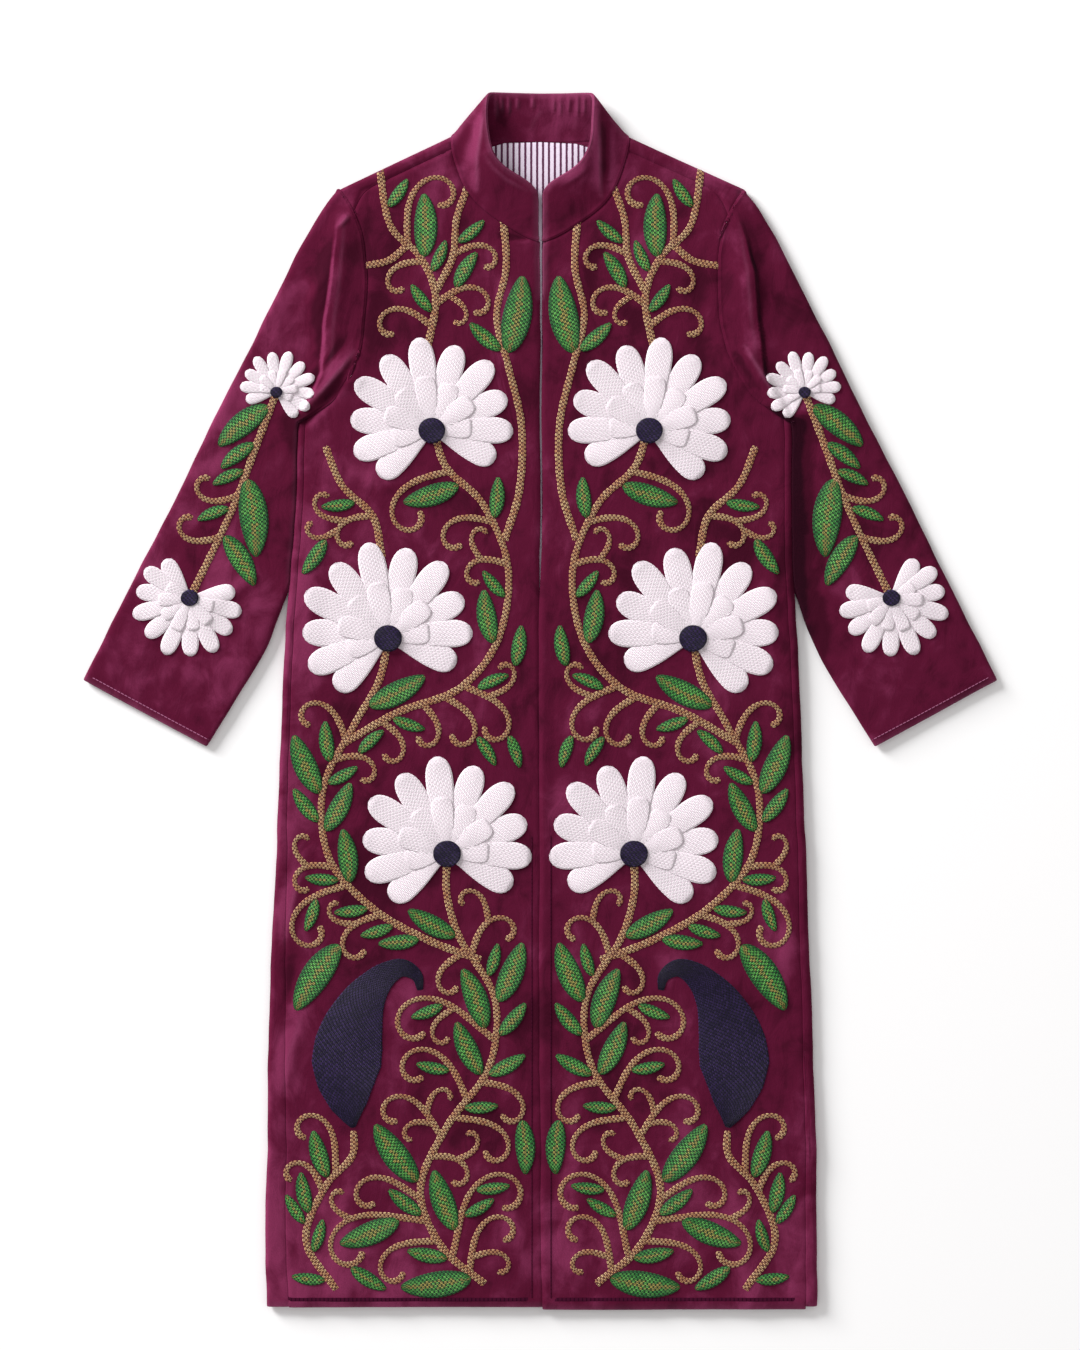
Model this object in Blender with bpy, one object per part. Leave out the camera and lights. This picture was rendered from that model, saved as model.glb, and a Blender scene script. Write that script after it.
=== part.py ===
"""A long velvet coat with a stand collar, laid flat on its back.

Millimetres in the tables, metres in Blender. +X runs to the right of someone looking down on the coat, +Y towards the
collar and +Z up from the surface it lies on. The origin is on that surface, under the middle of the coat's box.
"""

import math

import bmesh
import bpy
import numpy as np

MM = 0.001

# Driving sizes of the cloth and of the way it lies.
WALL = 3.0  # velvet, interlining and lining, sewn as one wall
LINING = 0.8
SEAM_GAP = 0.3
BODY_RISE = 9.0  # outside of the back to outside of the fronts
CUFF_RISE = 7.6  # the same through the sleeve at its cuff
EDGE_WINDOW = 26.0  # the swells die out this far from a folded edge
HEM_LEFT, HEM_RIGHT, HEM_BACK = -636.0, -638.4, -635.4
NECK_POINT = (93.5, 592.0)  # where the shoulder fold meets the collar
NECK_DIP = 5.2  # how far the back neck seam drops at the centre
SHOULDER_TIP = 534.5  # level of the top of the armhole
SLEEVE_CLEARS_BODY = 98.0  # below this level a sleeve lies free of the body's side
CUTTER_DEPTH = 60.0

# The folded outline of the body. For the levels between underarm and shoulder tip the outline is spare cloth
# that the armhole cutter takes away.
OUTLINE_COLUMNS = ("level", "left", "right")
OUTLINE = (
    (-640.0, -288.0, 289.8),
    (-560.0, -288.6, 290.6),
    (-450.0, -286.7, 288.6),
    (-324.0, -284.4, 285.2),
    (-198.0, -279.3, 279.6),
    (-72.0, -274.0, 275.0),
    (54.0, -268.6, 270.6),
    (148.0, -261.8, 265.0),
    (232.0, -257.3, 262.6),
    (293.0, -254.4, 264.4),
    (380.0, -240.0, 248.0),
    (480.0, -234.0, 238.0),
    (SHOULDER_TIP, -215.0, 219.0),
    (NECK_POINT[1], -NECK_POINT[0], NECK_POINT[0]),
)

# How far the side seams have rolled on to the front, in from the folded edge.
SIDE_SEAM_COLUMNS = ("level", "left", "right")
SIDE_SEAM = (
    (-640.0, 23.0, 12.0),
    (-324.0, 17.0, 10.0),
    (-100.0, 9.0, 8.0),
    (293.0, 8.0, 8.0),
)
SHOULDER_SEAM = {"left": 12.0, "right": 13.5}  # square to the shoulder fold

# The armhole seams, seen from above.
ARMHOLE_COLUMNS = ("level", "left", "right")
ARMHOLE = (
    (290.5, -275.0, 286.0),
    (293.0, -254.4, 264.4),
    (299.0, -243.6, 253.0),
    (308.0, -229.3, 240.0),
    (317.0, -217.4, 228.0),
    (337.0, -203.2, 211.5),
    (363.0, -192.2, 198.0),
    (397.0, -186.1, 190.0),
    (438.0, -183.1, 187.5),
    (468.0, -184.8, 188.6),
    (490.0, -188.6, 191.6),
    (508.0, -195.2, 197.0),
    (525.0, -203.6, 206.4),
    (SHOULDER_TIP, -210.0, 214.0),
    (546.0, -218.0, 222.4),
)

# The front neck seam, from the centre front to the shoulder, the same on both sides.
NECK_COLUMNS = ("across", "level")
NECK = (
    (0.0, 481.6),
    (18.0, 488.8),
    (35.0, 499.0),
    (52.0, 510.5),
    (68.0, 524.5),
    (79.3, 541.0),
    (86.5, 560.0),
    (91.0, 575.0),
    NECK_POINT,
)

# Sections of a sleeve from cuff to shoulder: its outer fold, then its inner fold on each side. Where the sleeve
# passes under the body's side, and above the underarm, the inner fold is spare cloth that the cutter takes away.
SLEEVE_COLUMNS = ("outer", "outer_level", "inner_left", "inner_right", "inner_level")
SLEEVE = (
    (479.9, 22.1, 350.7, 350.7, -47.3),
    (453.0, 75.6, 318.5, 318.5, 4.5),
    (428.8, 124.1, 288.2, 289.4, 53.6),
    (405.5, 170.0, 269.9, 271.6, 102.0),
    (384.5, 212.0, 252.0, 256.0, 146.0),
    (351.2, 279.0, 240.0, 246.0, 208.0),
    (330.0, 321.5, 228.0, 236.0, 266.0),
    (309.0, 363.5, 206.0, 214.0, 306.0),
    (290.0, 401.5, 178.0, 184.0, 344.0),
    (267.5, 446.0, 163.0, 167.0, 388.0),
    (252.5, 476.8, 159.0, 163.0, 430.0),
    (239.5, 499.0, 164.0, 167.0, 468.0),
    (227.3, 519.0, 170.0, 173.0, 497.0),
    (216.0, 533.0, 178.0, 181.0, 517.0),
    (203.0, 545.0, 184.0, 187.0, 531.0),
)

# Folds and swells that stand out of the flat lie: a crest from one point to another, its height, and how wide it
# fades on its left and on its right, seen along the crest.
FOLD_COLUMNS = ("x0", "y0", "x1", "y1", "height", "fade_left", "fade_right")
FOLDS = (
    # Roll of cloth that the left sleeve head makes beside its seam.
    (-211.0, 508.0, -226.0, 440.0, 4.2, 26.0, 9.0),
    (-226.0, 440.0, -231.0, 345.0, 4.4, 30.0, 8.0),
    # The same on the right sleeve.
    (215.0, 508.0, 225.0, 440.0, 4.2, 9.0, 24.0),
    (225.0, 440.0, 234.0, 352.0, 4.6, 8.0, 28.0),
    # Diagonal folds that run out of the underarms.
    (-196.0, 358.0, -242.0, 306.0, 2.6, 12.0, 11.0),
    (212.0, 362.0, 256.0, 304.0, 3.0, 9.0, 18.0),
    # Drop lines under the neck and soft waves towards the hem.
    (-150.0, 470.0, -160.0, 250.0, 1.1, 26.0, 30.0),
    (140.0, 470.0, 165.0, 240.0, 1.0, 28.0, 24.0),
    (-120.0, 60.0, -150.0, -260.0, -1.0, 34.0, 38.0),
    (-70.0, -330.0, -58.0, -610.0, 1.4, 30.0, 34.0),
    (-190.0, -300.0, -206.0, -600.0, 1.2, 30.0, 26.0),
    (108.0, 40.0, 128.0, -250.0, -0.9, 36.0, 34.0),
    (84.0, -330.0, 70.0, -610.0, 1.1, 34.0, 30.0),
    (196.0, -280.0, 214.0, -600.0, 1.4, 28.0, 28.0),
    (-330.0, 210.0, -420.0, 40.0, 1.0, 16.0, 20.0),
    (340.0, 190.0, 430.0, 30.0, 1.1, 20.0, 16.0),
)

# The slit between the fronts: its middle drifts, and it closes towards the hem.
SLIT_COLUMNS = ("level", "middle", "width")
SLIT = (
    (-640.0, 3.4, 0.7),
    (-300.0, 1.0, 0.9),
    (150.0, -0.4, 2.0),
    (400.0, 0.3, 2.0),
    (482.0, 0.6, 3.0),
)

# Half of the collar from the centre front to the centre back: its seam, then its free edge. Where it is sewn to a
# front, the seam is moved to lie the seam's gap from that front's neckline.
COLLAR_COLUMNS = ("seam_x", "seam_y", "seam_z", "edge_x", "edge_y", "edge_z")
COLLAR = (
    (2.6, 483.2, 9.0, 2.4, 533.0, 14.0),
    (17.8, 489.6, 9.0, 10.6, 543.0, 16.0),
    (34.6, 499.8, 9.0, 25.0, 551.6, 18.5),
    (51.5, 511.2, 9.0, 39.5, 561.0, 21.0),
    (67.2, 525.2, 9.0, 49.5, 574.0, 23.5),
    (78.4, 541.5, 9.0, 54.4, 590.0, 25.0),
    (85.4, 560.2, 9.0, 56.0, 607.0, 24.5),
    (89.8, 575.0, 9.0, 56.6, 622.0, 22.5),
    (92.4, 586.8, 8.9, 56.2, 633.0, 18.5),
    (92.6, 592.6, 5.2, 54.4, 637.4, 14.0),
    (86.0, 592.6, 1.2, 50.0, 638.4, 10.5),
    (72.0, 590.6, 0.4, 41.0, 638.4, 8.0),
    (50.0, 588.6, 0.3, 28.0, 638.0, 6.5),
    (26.0, 587.5, 0.3, 14.0, 637.8, 5.8),
    (0.0, 587.1, 0.3, 0.0, 637.6, 5.6),
)

VELVET = (0.115, 0.008, 0.032)
LINING_COLOUR = (0.62, 0.50, 0.60)


def column(table, names, name):
    return np.array([row[names.index(name)] for row in table])


def smooth_table(table, steps=8):
    """The table's rows with rounded ones between them, on a Catmull-Rom curve through each column."""
    rows = np.array(table, float)
    ends = np.vstack([2 * rows[0] - rows[1], rows, 2 * rows[-1] - rows[-2]])
    found = []
    for before, start, end, after in zip(ends, ends[1:], ends[2:], ends[3:]):
        for k in range(steps):
            t = k / steps
            found.append(
                start
                + 0.5 * t * (end - before)
                + t * t * (before - 2.5 * start + 2 * end - 0.5 * after)
                + t**3 * 0.5 * (after - before + 3 * (start - end))
            )
    return np.vstack([found, rows[-1]])


def read(table, at, column_index):
    """The value of one column of a level table, at a level."""
    return float(np.interp(at, table[:, 0], table[:, column_index]))


OUTLINE_FINE = np.vstack(
    [smooth_table(OUTLINE[:-1], 6), [OUTLINE[-1]]]
)  # the shoulders stay straight
ARMHOLE_FINE = smooth_table(ARMHOLE, 4)
SIDES = {"left": 1, "right": 2}


def step(value, low, high):
    """0 below low, 1 above high and smooth between."""
    t = min(1.0, max(0.0, (value - low) / (high - low)))
    return t * t * (3 - 2 * t)


def swell(x, y):
    """How far the folds raise the top cloth at a point, before the edges hold it down."""
    total = 0.0
    for x0, y0, x1, y1, height, fade_left, fade_right in FOLDS:
        run_x, run_y = x1 - x0, y1 - y0
        long = math.hypot(run_x, run_y)
        along = ((x - x0) * run_x + (y - y0) * run_y) / long
        aside = ((x - x0) * -run_y + (y - y0) * run_x) / long
        past = max(-along, along - long, 0.0)
        fade = fade_left if aside > 0 else fade_right
        end_fade = 0.5 * (fade_left + fade_right)
        total += height * math.exp(-((aside / fade) ** 2) - (past / end_fade) ** 2)
    return max(total, -1.3)


def body_section(level):
    """The folded edges of the body at a level, and how far each fold's curve reaches in from its edge."""
    section = {}
    for side, index in SIDES.items():
        edge = read(OUTLINE_FINE, level, index)
        slope = (
            read(OUTLINE_FINE, level + 1.0, index)
            - read(OUTLINE_FINE, level - 1.0, index)
        ) / 2.0
        if level > SHOULDER_TIP:
            slope = (NECK_POINT[0] - abs(OUTLINE[-2][index])) / (
                NECK_POINT[1] - SHOULDER_TIP
            )
        reach = BODY_RISE / 2 * math.sqrt(1 + slope * slope)
        section[side] = (edge, reach)
    return section


def body_top(x, y):
    """Height of the outside of the fronts."""
    section = body_section(y)
    inside = min(
        x - section["left"][0] - section["left"][1],
        section["right"][0] - section["right"][1] - x,
    )
    return BODY_RISE + swell(x, y) * step(inside, 0.0, EDGE_WINDOW)


def seam_across(level, side):
    """Where the side or shoulder seam lies on the top of the body, at a level."""
    index = SIDES[side]
    sign = -1 if side == "left" else 1
    edge, reach = body_section(level)[side]
    if level <= ARMHOLE[1][0]:
        inset = read(np.array(SIDE_SEAM), level, index)
        return edge - sign * inset
    run = abs(OUTLINE[-2][index]) - NECK_POINT[0]
    rise = NECK_POINT[1] - SHOULDER_TIP
    inset = SHOULDER_SEAM[side] * math.hypot(run, rise) / rise
    share = step(level, ARMHOLE[1][0], SHOULDER_TIP - 30.0)
    low = read(np.array(SIDE_SEAM), ARMHOLE[1][0], index)
    spot = edge - sign * (low + (inset - low) * share)
    return spot


def spread(low, high, count):
    return [low + (high - low) * k / count for k in range(count + 1)]


def back_point(level, place, depth):
    """A point of the back. place counts along the section: top left, left fold, floor, right fold, top right."""
    section = body_section(level)
    radius = BODY_RISE / 2
    kind, value = place
    side = "left" if kind.endswith("left") else "right"
    sign = -1 if side == "left" else 1
    edge, reach = section[side]
    if kind == "floor":
        low = section["left"][0] + section["left"][1]
        high = section["right"][0] - section["right"][1]
        return low + (high - low) * value, depth
    if kind.startswith("fold"):
        inner = (radius - depth) / radius
        x = edge - sign * reach * (1 - inner * math.sin(math.pi * value))
        return x, radius + (radius - depth) * math.cos(math.pi * value)
    flat = edge - sign * reach
    x = flat + (seam_across(level, side) - flat) * value
    return x, body_top(x, level) - depth


def back_places():
    places = [("top_left", v) for v in (1.0, 0.5)]
    places += [("fold_left", v) for v in spread(0.0, 1.0, 5)[:-1]]
    places += [("floor", v) for v in spread(0.0, 1.0, 12)]
    places += [("fold_right", v) for v in spread(1.0, 0.0, 5)[1:]]
    places += [("top_right", v) for v in (0.5, 1.0)]
    return places


def wall_object(name, columns, rows, place, material, tube=False):
    """A wall of cloth: a flat slab of columns by rows squares, whose points place() then lays on the garment.

    place(column, row, layer) gives millimetres, with layer 0 on the outside and 1 on the inside of the cloth.
    """
    bm = bmesh.new()
    bmesh.ops.create_grid(bm, x_segments=columns, y_segments=rows, size=1.0)
    sheet = bm.faces[:]
    grown = bmesh.ops.extrude_face_region(bm, geom=sheet, use_keep_orig=True)
    for item in grown["geom"]:
        if isinstance(item, bmesh.types.BMVert):
            item.co.z = 1.0
    if tube:
        ends = [
            face
            for face in bm.faces
            if len({round(v.co.x, 4) for v in face.verts}) == 1
        ]
        bmesh.ops.delete(bm, geom=ends, context="FACES_ONLY")
    for vert in bm.verts:
        i = round((vert.co.x + 1) / 2 * columns)
        j = round((vert.co.y + 1) / 2 * rows)
        layer = 0 if vert.co.z > 0.5 else 1
        vert.co = [value * MM for value in place(i, j, layer)]
    if tube:
        bmesh.ops.remove_doubles(bm, verts=bm.verts[:], dist=0.00001)
    bmesh.ops.recalc_face_normals(bm, faces=bm.faces[:])
    mesh = bpy.data.meshes.new(name)
    bm.to_mesh(mesh)
    bm.free()
    mesh.shade_smooth()
    mesh.set_sharp_from_angle(angle=math.radians(40))
    obj = bpy.data.objects.new(name, mesh)
    obj.data.materials.append(material)
    COAT.objects.link(obj)
    return obj


def cutter(name, outline, floor=-CUTTER_DEPTH):
    """A tall prism over a flat outline, which cuts cloth straight down to its floor. It isn't part of the coat."""
    curve = bpy.data.curves.new(name, "CURVE")
    curve.dimensions = "2D"
    curve.fill_mode = "BOTH"
    curve.extrude = CUTTER_DEPTH * MM
    spline = curve.splines.new("POLY")
    spline.points.add(len(outline) - 1)
    for point, (x, y) in zip(spline.points, outline):
        point.co = (x * MM, y * MM, 0.0, 1.0)
    spline.use_cyclic_u = True
    drawn = bpy.data.objects.new(name + "_outline", curve)
    CUTTERS.objects.link(drawn)
    bpy.context.view_layer.update()
    graph = bpy.context.evaluated_depsgraph_get()
    mesh = bpy.data.meshes.new_from_object(drawn.evaluated_get(graph))
    bpy.data.objects.remove(drawn)
    bm = bmesh.new()
    bm.from_mesh(mesh)
    bmesh.ops.remove_doubles(bm, verts=bm.verts[:], dist=0.000001)
    bmesh.ops.recalc_face_normals(bm, faces=bm.faces[:])
    for vert in bm.verts:
        vert.co.z = max(vert.co.z, floor * MM)
    bm.to_mesh(mesh)
    bm.free()
    obj = bpy.data.objects.new(name, mesh)
    obj.hide_render = True
    obj.display_type = "WIRE"
    CUTTERS.objects.link(obj)
    return obj


def cut(obj, tool):
    modifier = obj.modifiers.new("cut_" + tool.name, "BOOLEAN")
    modifier.object = tool
    modifier.operation = "DIFFERENCE"
    modifier.solver = "EXACT"


def armhole_outline(side, aside):
    """The armhole seam from underarm to shoulder, moved away from the body by aside."""
    line = ARMHOLE_FINE[:, [SIDES[side], 0]]
    run = np.gradient(line, axis=0)
    run /= np.linalg.norm(run, axis=1)[:, None]
    sign = -1 if side == "left" else 1
    away = np.stack([sign * run[:, 1], -sign * run[:, 0]], axis=1)
    return line + away * aside


def make_cutters():
    """The prisms for armholes and neck. Body and sleeve are cut on two sides of one seam line, the gap apart."""
    tools = {}
    for side in SIDES:
        sign = -1 if side == "left" else 1
        seam = armhole_outline(side, 0.0)
        away = [(sign * 420.0, 560.0), (sign * 420.0, 290.5)]
        tools["body_" + side] = cutter("armhole_body_" + side, [*seam, *away])
        seam = armhole_outline(side, SEAM_GAP)[4:]
        rows = body_levels(HEM_BACK, NECK_POINT[1])
        beside = [v for v in rows if SLEEVE_CLEARS_BODY < v < 290.0]
        heel = [
            (read(OUTLINE_FINE, level, SIDES[side]) + sign * SEAM_GAP, level)
            for level in [SLEEVE_CLEARS_BODY, *beside, 290.0]
        ]
        inner = [(sign * 80.0, 560.0), (sign * 80.0, SLEEVE_CLEARS_BODY), *heel]
        tools["sleeve_" + side] = cutter("armhole_sleeve_" + side, [*seam, *inner])
    neck = smooth_table(NECK, 4)
    mirrored = neck[::-1] * [-1, 1]
    top = [(NECK_POINT[0], 640.0), (-NECK_POINT[0], 640.0)]
    neck_outline = [*mirrored[:-1], *neck, *top]
    tools["neck"] = cutter("neck_front", neck_outline)
    tools["shoulder_ends"] = cutter("neck_back", neck_outline, BODY_RISE / 2)
    return tools


def body_levels(hem, top):
    """Levels of the body's rows: wide apart down the skirt, close at armholes and shoulders. Every panel of the
    body has the same rows between its ends, so the seams between them fit."""
    skirt = spread(-590.0, 270.0, 18)[:-1]
    chest = spread(270.0, SHOULDER_TIP, 12)[:-1]
    shoulder = spread(SHOULDER_TIP, 584.0, 5)
    return [hem, *skirt, *chest, *shoulder, top]


def make_back():
    places = back_places()
    levels = body_levels(HEM_BACK, NECK_POINT[1] - 0.4)

    def place(i, j, layer):
        level = levels[j]
        x, z = back_point(level, places[i], WALL * layer)
        if places[i][0] == "floor":
            dip = NECK_DIP * max(0.0, 1 - (x / NECK_POINT[0]) ** 2)
            level -= dip * step(level, 560.0, NECK_POINT[1] - 1.0)
        return x, level, z

    back = wall_object("back", len(places) - 1, len(levels) - 1, place, VELVET_CLOTH)
    for side in SIDES:
        cut(back, TOOLS["body_" + side])
    cut(back, TOOLS["shoulder_ends"])


def make_front(side):
    sign = -1 if side == "left" else 1
    hem = HEM_LEFT if side == "left" else HEM_RIGHT
    levels = body_levels(hem, 587.0)
    shares = [0.0, 0.06, 0.17, 0.28, 0.4, 0.52, 0.64, 0.76, 0.88, 0.96, 1.0]

    def place(i, j, layer):
        level = levels[j]
        slit = np.array(SLIT)
        middle = read(slit, level, 1)
        centre = middle + sign * read(slit, level, 2) / 2
        outer = seam_across(level, side) - sign * SEAM_GAP
        x = centre + (outer - centre) * shares[i]
        return x, level, body_top(x, level) - WALL * layer

    front = wall_object(
        "front_" + side, len(shares) - 1, len(levels) - 1, place, VELVET_CLOTH
    )
    cut(front, TOOLS["body_" + side])
    cut(front, TOOLS["neck"])


def make_sleeve(side):
    sign = -1 if side == "left" else 1
    sections = smooth_table(SLEEVE, 2)
    outer = sections[:, [0, 1]] * [sign, 1]
    inner = sections[:, [2 if side == "left" else 3, 4]] * [sign, 1]
    top = [("top", v) for v in spread(0.0, 1.0, 13)[:-1]]
    inner_fold = [("inner", v) for v in spread(0.0, 1.0, 4)[:-1]]
    floor = [("floor", v) for v in spread(1.0, 0.0, 8)[:-1]]
    outer_fold = [("outer", v) for v in spread(1.0, 0.0, 4)]
    places = top + inner_fold + floor + outer_fold
    count = len(sections) - 1

    def place(i, j, layer):
        start, end = outer[j], inner[j]
        long = np.linalg.norm(end - start)
        rise = CUFF_RISE + (BODY_RISE - CUFF_RISE) * step(j / count, 0.0, 0.45)
        radius = rise / 2
        depth = WALL * layer
        kind, value = places[i]
        if kind in ("top", "floor"):
            across = radius + (long - 2 * radius) * value
            x, y = start + (end - start) * across / long
            if kind == "floor":
                return x, y, depth
            inside = min(across, long - across) - radius
            raised = swell(x, y) * step(inside, 0.0, EDGE_WINDOW)
            return x, y, rise + raised - depth
        reach = radius - (radius - depth) * math.sin(math.pi * value)
        across = reach if kind == "outer" else long - reach
        x, y = start + (end - start) * across / long
        return x, y, radius + (radius - depth) * math.cos(math.pi * value)

    sleeve = wall_object(
        "sleeve_" + side, len(places) - 1, count, place, VELVET_CLOTH, tube=True
    )
    cut(sleeve, TOOLS["sleeve_" + side])


def make_collar():
    half = smooth_table(COLLAR, 2)
    neck = smooth_table(NECK, 6)
    for row in half:
        if row[2] > BODY_RISE - 0.5 and row[0] > 4.0:
            near = int(np.argmin(np.linalg.norm(neck - row[:2], axis=1)))
            inward = row[:2] - neck[near]
            row[:2] = neck[near] + inward / np.linalg.norm(inward) * SEAM_GAP
    left = half * [-1, 1, 1, -1, 1, 1]
    ring = np.vstack([left, half[::-1][1:]])
    rows = 5

    def outside(i, v):
        """A point of the collar's outer face: v runs from the seam to the free edge."""
        seam, edge = ring[i, :3], ring[i, 3:]
        point = seam + (edge - seam) * v
        point[2] = seam[2] + (edge[2] - seam[2]) * v**1.5
        return point

    def place(i, j, layer):
        v = j / rows
        low, high = max(i - 1, 0), min(i + 1, len(ring) - 1)
        around = outside(high, v) - outside(low, v)
        up = outside(i, min(v + 0.04, 1.0)) - outside(i, max(v - 0.04, 0.0))
        normal = np.cross(around, up)
        normal /= np.linalg.norm(normal)
        return outside(i, v) + normal * WALL * layer

    wall_object("collar", len(ring) - 1, rows, place, VELVET_CLOTH)


def make_lining():
    """The striped lining of the back, which shows in the neck and between the fronts."""
    inset, low = 14.0, HEM_BACK + 24.0
    levels = spread(low, 270.0, 14)[:-1] + spread(270.0, 583.0, 14)
    columns = 10

    def place(i, j, layer):
        level = levels[j]
        ends = []
        for side, index in SIDES.items():
            sign = -1 if side == "left" else 1
            spot = sign * read(OUTLINE_FINE, level, index) - inset
            if level > ARMHOLE[1][0] - 6.0:
                hole = sign * read(ARMHOLE_FINE, level + 6.0, index) - 4.0
                spot = min(spot, hole)
            if level > SHOULDER_TIP:
                spot = min(spot, sign * read(OUTLINE_FINE, level, index) - 2 * inset)
            ends.append(sign * spot)
        x = ends[0] + (ends[1] - ends[0]) * i / columns
        return x, level, WALL + SEAM_GAP + LINING * (1 - layer)

    wall_object("back_lining", columns, len(levels) - 1, place, STRIPED_LINING)


def cloth_material(name, colour, roughness):
    material = bpy.data.materials.new(name)
    material.use_nodes = True
    shader = material.node_tree.nodes["Principled BSDF"]
    shader.inputs["Base Color"].default_value = (*colour, 1.0)
    shader.inputs["Roughness"].default_value = roughness
    shader.inputs["Metallic"].default_value = 0.0
    return material


for old in list(bpy.data.objects):
    bpy.data.objects.remove(old)

COAT = bpy.data.collections.new("coat")
CUTTERS = bpy.data.collections.new("cutters")
bpy.context.scene.collection.children.link(COAT)
bpy.context.scene.collection.children.link(CUTTERS)
VELVET_CLOTH = cloth_material("velvet", VELVET, 0.85)
STRIPED_LINING = cloth_material("lining", LINING_COLOUR, 0.7)
TOOLS = make_cutters()

make_back()
make_lining()
for side_name in SIDES:
    make_front(side_name)
    make_sleeve(side_name)
make_collar()
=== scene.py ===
# %% [markdown]
# # A long velvet coat, laid flat
#
# The coat lies on its back on a white surface and is looked at from straight above. Its solids are already
# made, so this script dresses them: it gives each panel real cloth, then sews the embroidery on to it, line
# by line. We start by loading the solids and printing how large each one is.

# %% Load the coat's solids
import math

import bmesh
import bpy
import numpy as np
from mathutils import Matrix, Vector
from mathutils.bvhtree import BVHTree
from mathutils.kdtree import KDTree


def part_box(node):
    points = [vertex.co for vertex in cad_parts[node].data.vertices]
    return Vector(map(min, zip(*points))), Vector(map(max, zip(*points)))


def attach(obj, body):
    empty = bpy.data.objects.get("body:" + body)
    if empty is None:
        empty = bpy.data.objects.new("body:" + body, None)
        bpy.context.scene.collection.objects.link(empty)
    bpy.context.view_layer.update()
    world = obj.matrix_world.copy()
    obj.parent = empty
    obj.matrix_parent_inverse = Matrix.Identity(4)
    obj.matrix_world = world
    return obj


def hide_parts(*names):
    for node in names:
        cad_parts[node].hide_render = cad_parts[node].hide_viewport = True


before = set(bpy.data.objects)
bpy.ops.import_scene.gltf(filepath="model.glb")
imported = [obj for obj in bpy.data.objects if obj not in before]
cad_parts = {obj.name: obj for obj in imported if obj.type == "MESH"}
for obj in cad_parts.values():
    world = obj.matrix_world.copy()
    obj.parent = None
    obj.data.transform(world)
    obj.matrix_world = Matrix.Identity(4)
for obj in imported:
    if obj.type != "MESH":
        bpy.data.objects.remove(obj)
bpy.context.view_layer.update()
MM = 0.001
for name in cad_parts:
    low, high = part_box(name)
    print(name, "is", [round((b - a) / MM) for a, b in zip(low, high)], "mm")

# %% [markdown]
# ## Camera and light
#
# The coat was photographed from directly above through a long lens, so the camera hangs over the coat and
# looks straight down. One large soft lamp, low and to the upper left, models the folds and gives the shadows
# their direction, and a pale sky fills them. The floor is one plain sheet just under the cloth.

# %% Hang the camera over the coat
PIXEL = 1.05 * MM  # what one pixel of the photograph covers
PHOTO_HEIGHT = 1350 * PIXEL
AIM_X, AIM_Y = -0.5 * PIXEL, 26.0 * PIXEL  # the photograph's middle, measured from the coat's
CLOTH_LEVEL = 6 * MM  # the level at which a pixel covers just that much
LENS, SENSOR = 100.0, 36.0
camera_data = bpy.data.cameras.new("camera_above")
camera_data.lens = LENS
camera_data.sensor_width = SENSOR
camera_above = bpy.data.objects.new("camera_above", camera_data)
bpy.context.scene.collection.objects.link(camera_above)
camera_above.location = (AIM_X, AIM_Y, PHOTO_HEIGHT * LENS / SENSOR + CLOTH_LEVEL)
bpy.context.scene.camera = camera_above
print("camera height", round(camera_above.location.z, 3), "m")

# %% Light it softly
LAMP_PLACE, LAMP_SIZE, LAMP_POWER = (-6.4, 5.6, 3.0), 3.2, 1380.0
SKY_COLOUR, SKY_STRENGTH = (1.0, 0.98, 0.972, 1.0), 0.6
lamp_data = bpy.data.lights.new("lamp_key", "AREA")
lamp_data.size = LAMP_SIZE
lamp_data.energy = LAMP_POWER
lamp_key = bpy.data.objects.new("lamp_key", lamp_data)
lamp_key.location = LAMP_PLACE
lamp_key.rotation_euler = (-Vector(LAMP_PLACE)).to_track_quat("-Z", "Y").to_euler()
bpy.context.scene.collection.objects.link(lamp_key)

pale_sky = bpy.data.worlds.new("pale_sky")
pale_sky.use_nodes = True
background = pale_sky.node_tree.nodes["Background"].inputs
background["Color"].default_value = SKY_COLOUR
background["Strength"].default_value = SKY_STRENGTH
bpy.context.scene.world = pale_sky
bpy.context.scene.view_settings.view_transform = "Standard"
print("one lamp of", LAMP_POWER, "W and a pale sky")

# %% Lay the floor
FLOOR_REACH, FLOOR_DROP = 4.0, 0.4 * MM
bm = bmesh.new()
bmesh.ops.create_grid(bm, x_segments=1, y_segments=1, size=FLOOR_REACH)
bmesh.ops.translate(bm, verts=bm.verts[:], vec=(0.0, 0.0, -FLOOR_DROP))
floor_mesh = bpy.data.meshes.new("floor")
bm.to_mesh(floor_mesh)
bm.free()
floor = bpy.data.objects.new("floor", floor_mesh)
bpy.context.scene.collection.objects.link(floor)
print("the floor reaches", FLOOR_REACH, "m each way")

# %% [markdown]
# ## Helpers for materials
#
# Every finish here is made of nodes, so it has no picture files and can be looked at from as near as one
# likes. A few small helpers keep the node code short: they add a node and fill or link its sockets, mix
# colours and do sums.


# %% Add nodes and mix colours
def add(tree, kind, sockets=None, **settings):
    """A new shader node. A socket's value is a number, a colour, or another node's output."""
    made = tree.nodes.new("ShaderNode" + kind)
    for key, value in settings.items():
        setattr(made, key, value)
    for key, value in (sockets or {}).items():
        if isinstance(value, bpy.types.NodeSocket):
            tree.links.new(value, made.inputs[key])
        else:
            made.inputs[key].default_value = value
    return made


def mix_colours(tree, share, first, second):
    return add(tree, "Mix", {0: share, 6: first, 7: second}, data_type="RGBA").outputs[2]


def calculate(tree, operation, first, second=0.0, third=0.0):
    return add(tree, "Math", {0: first, 1: second, 2: third}, operation=operation).outputs[0]


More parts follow.
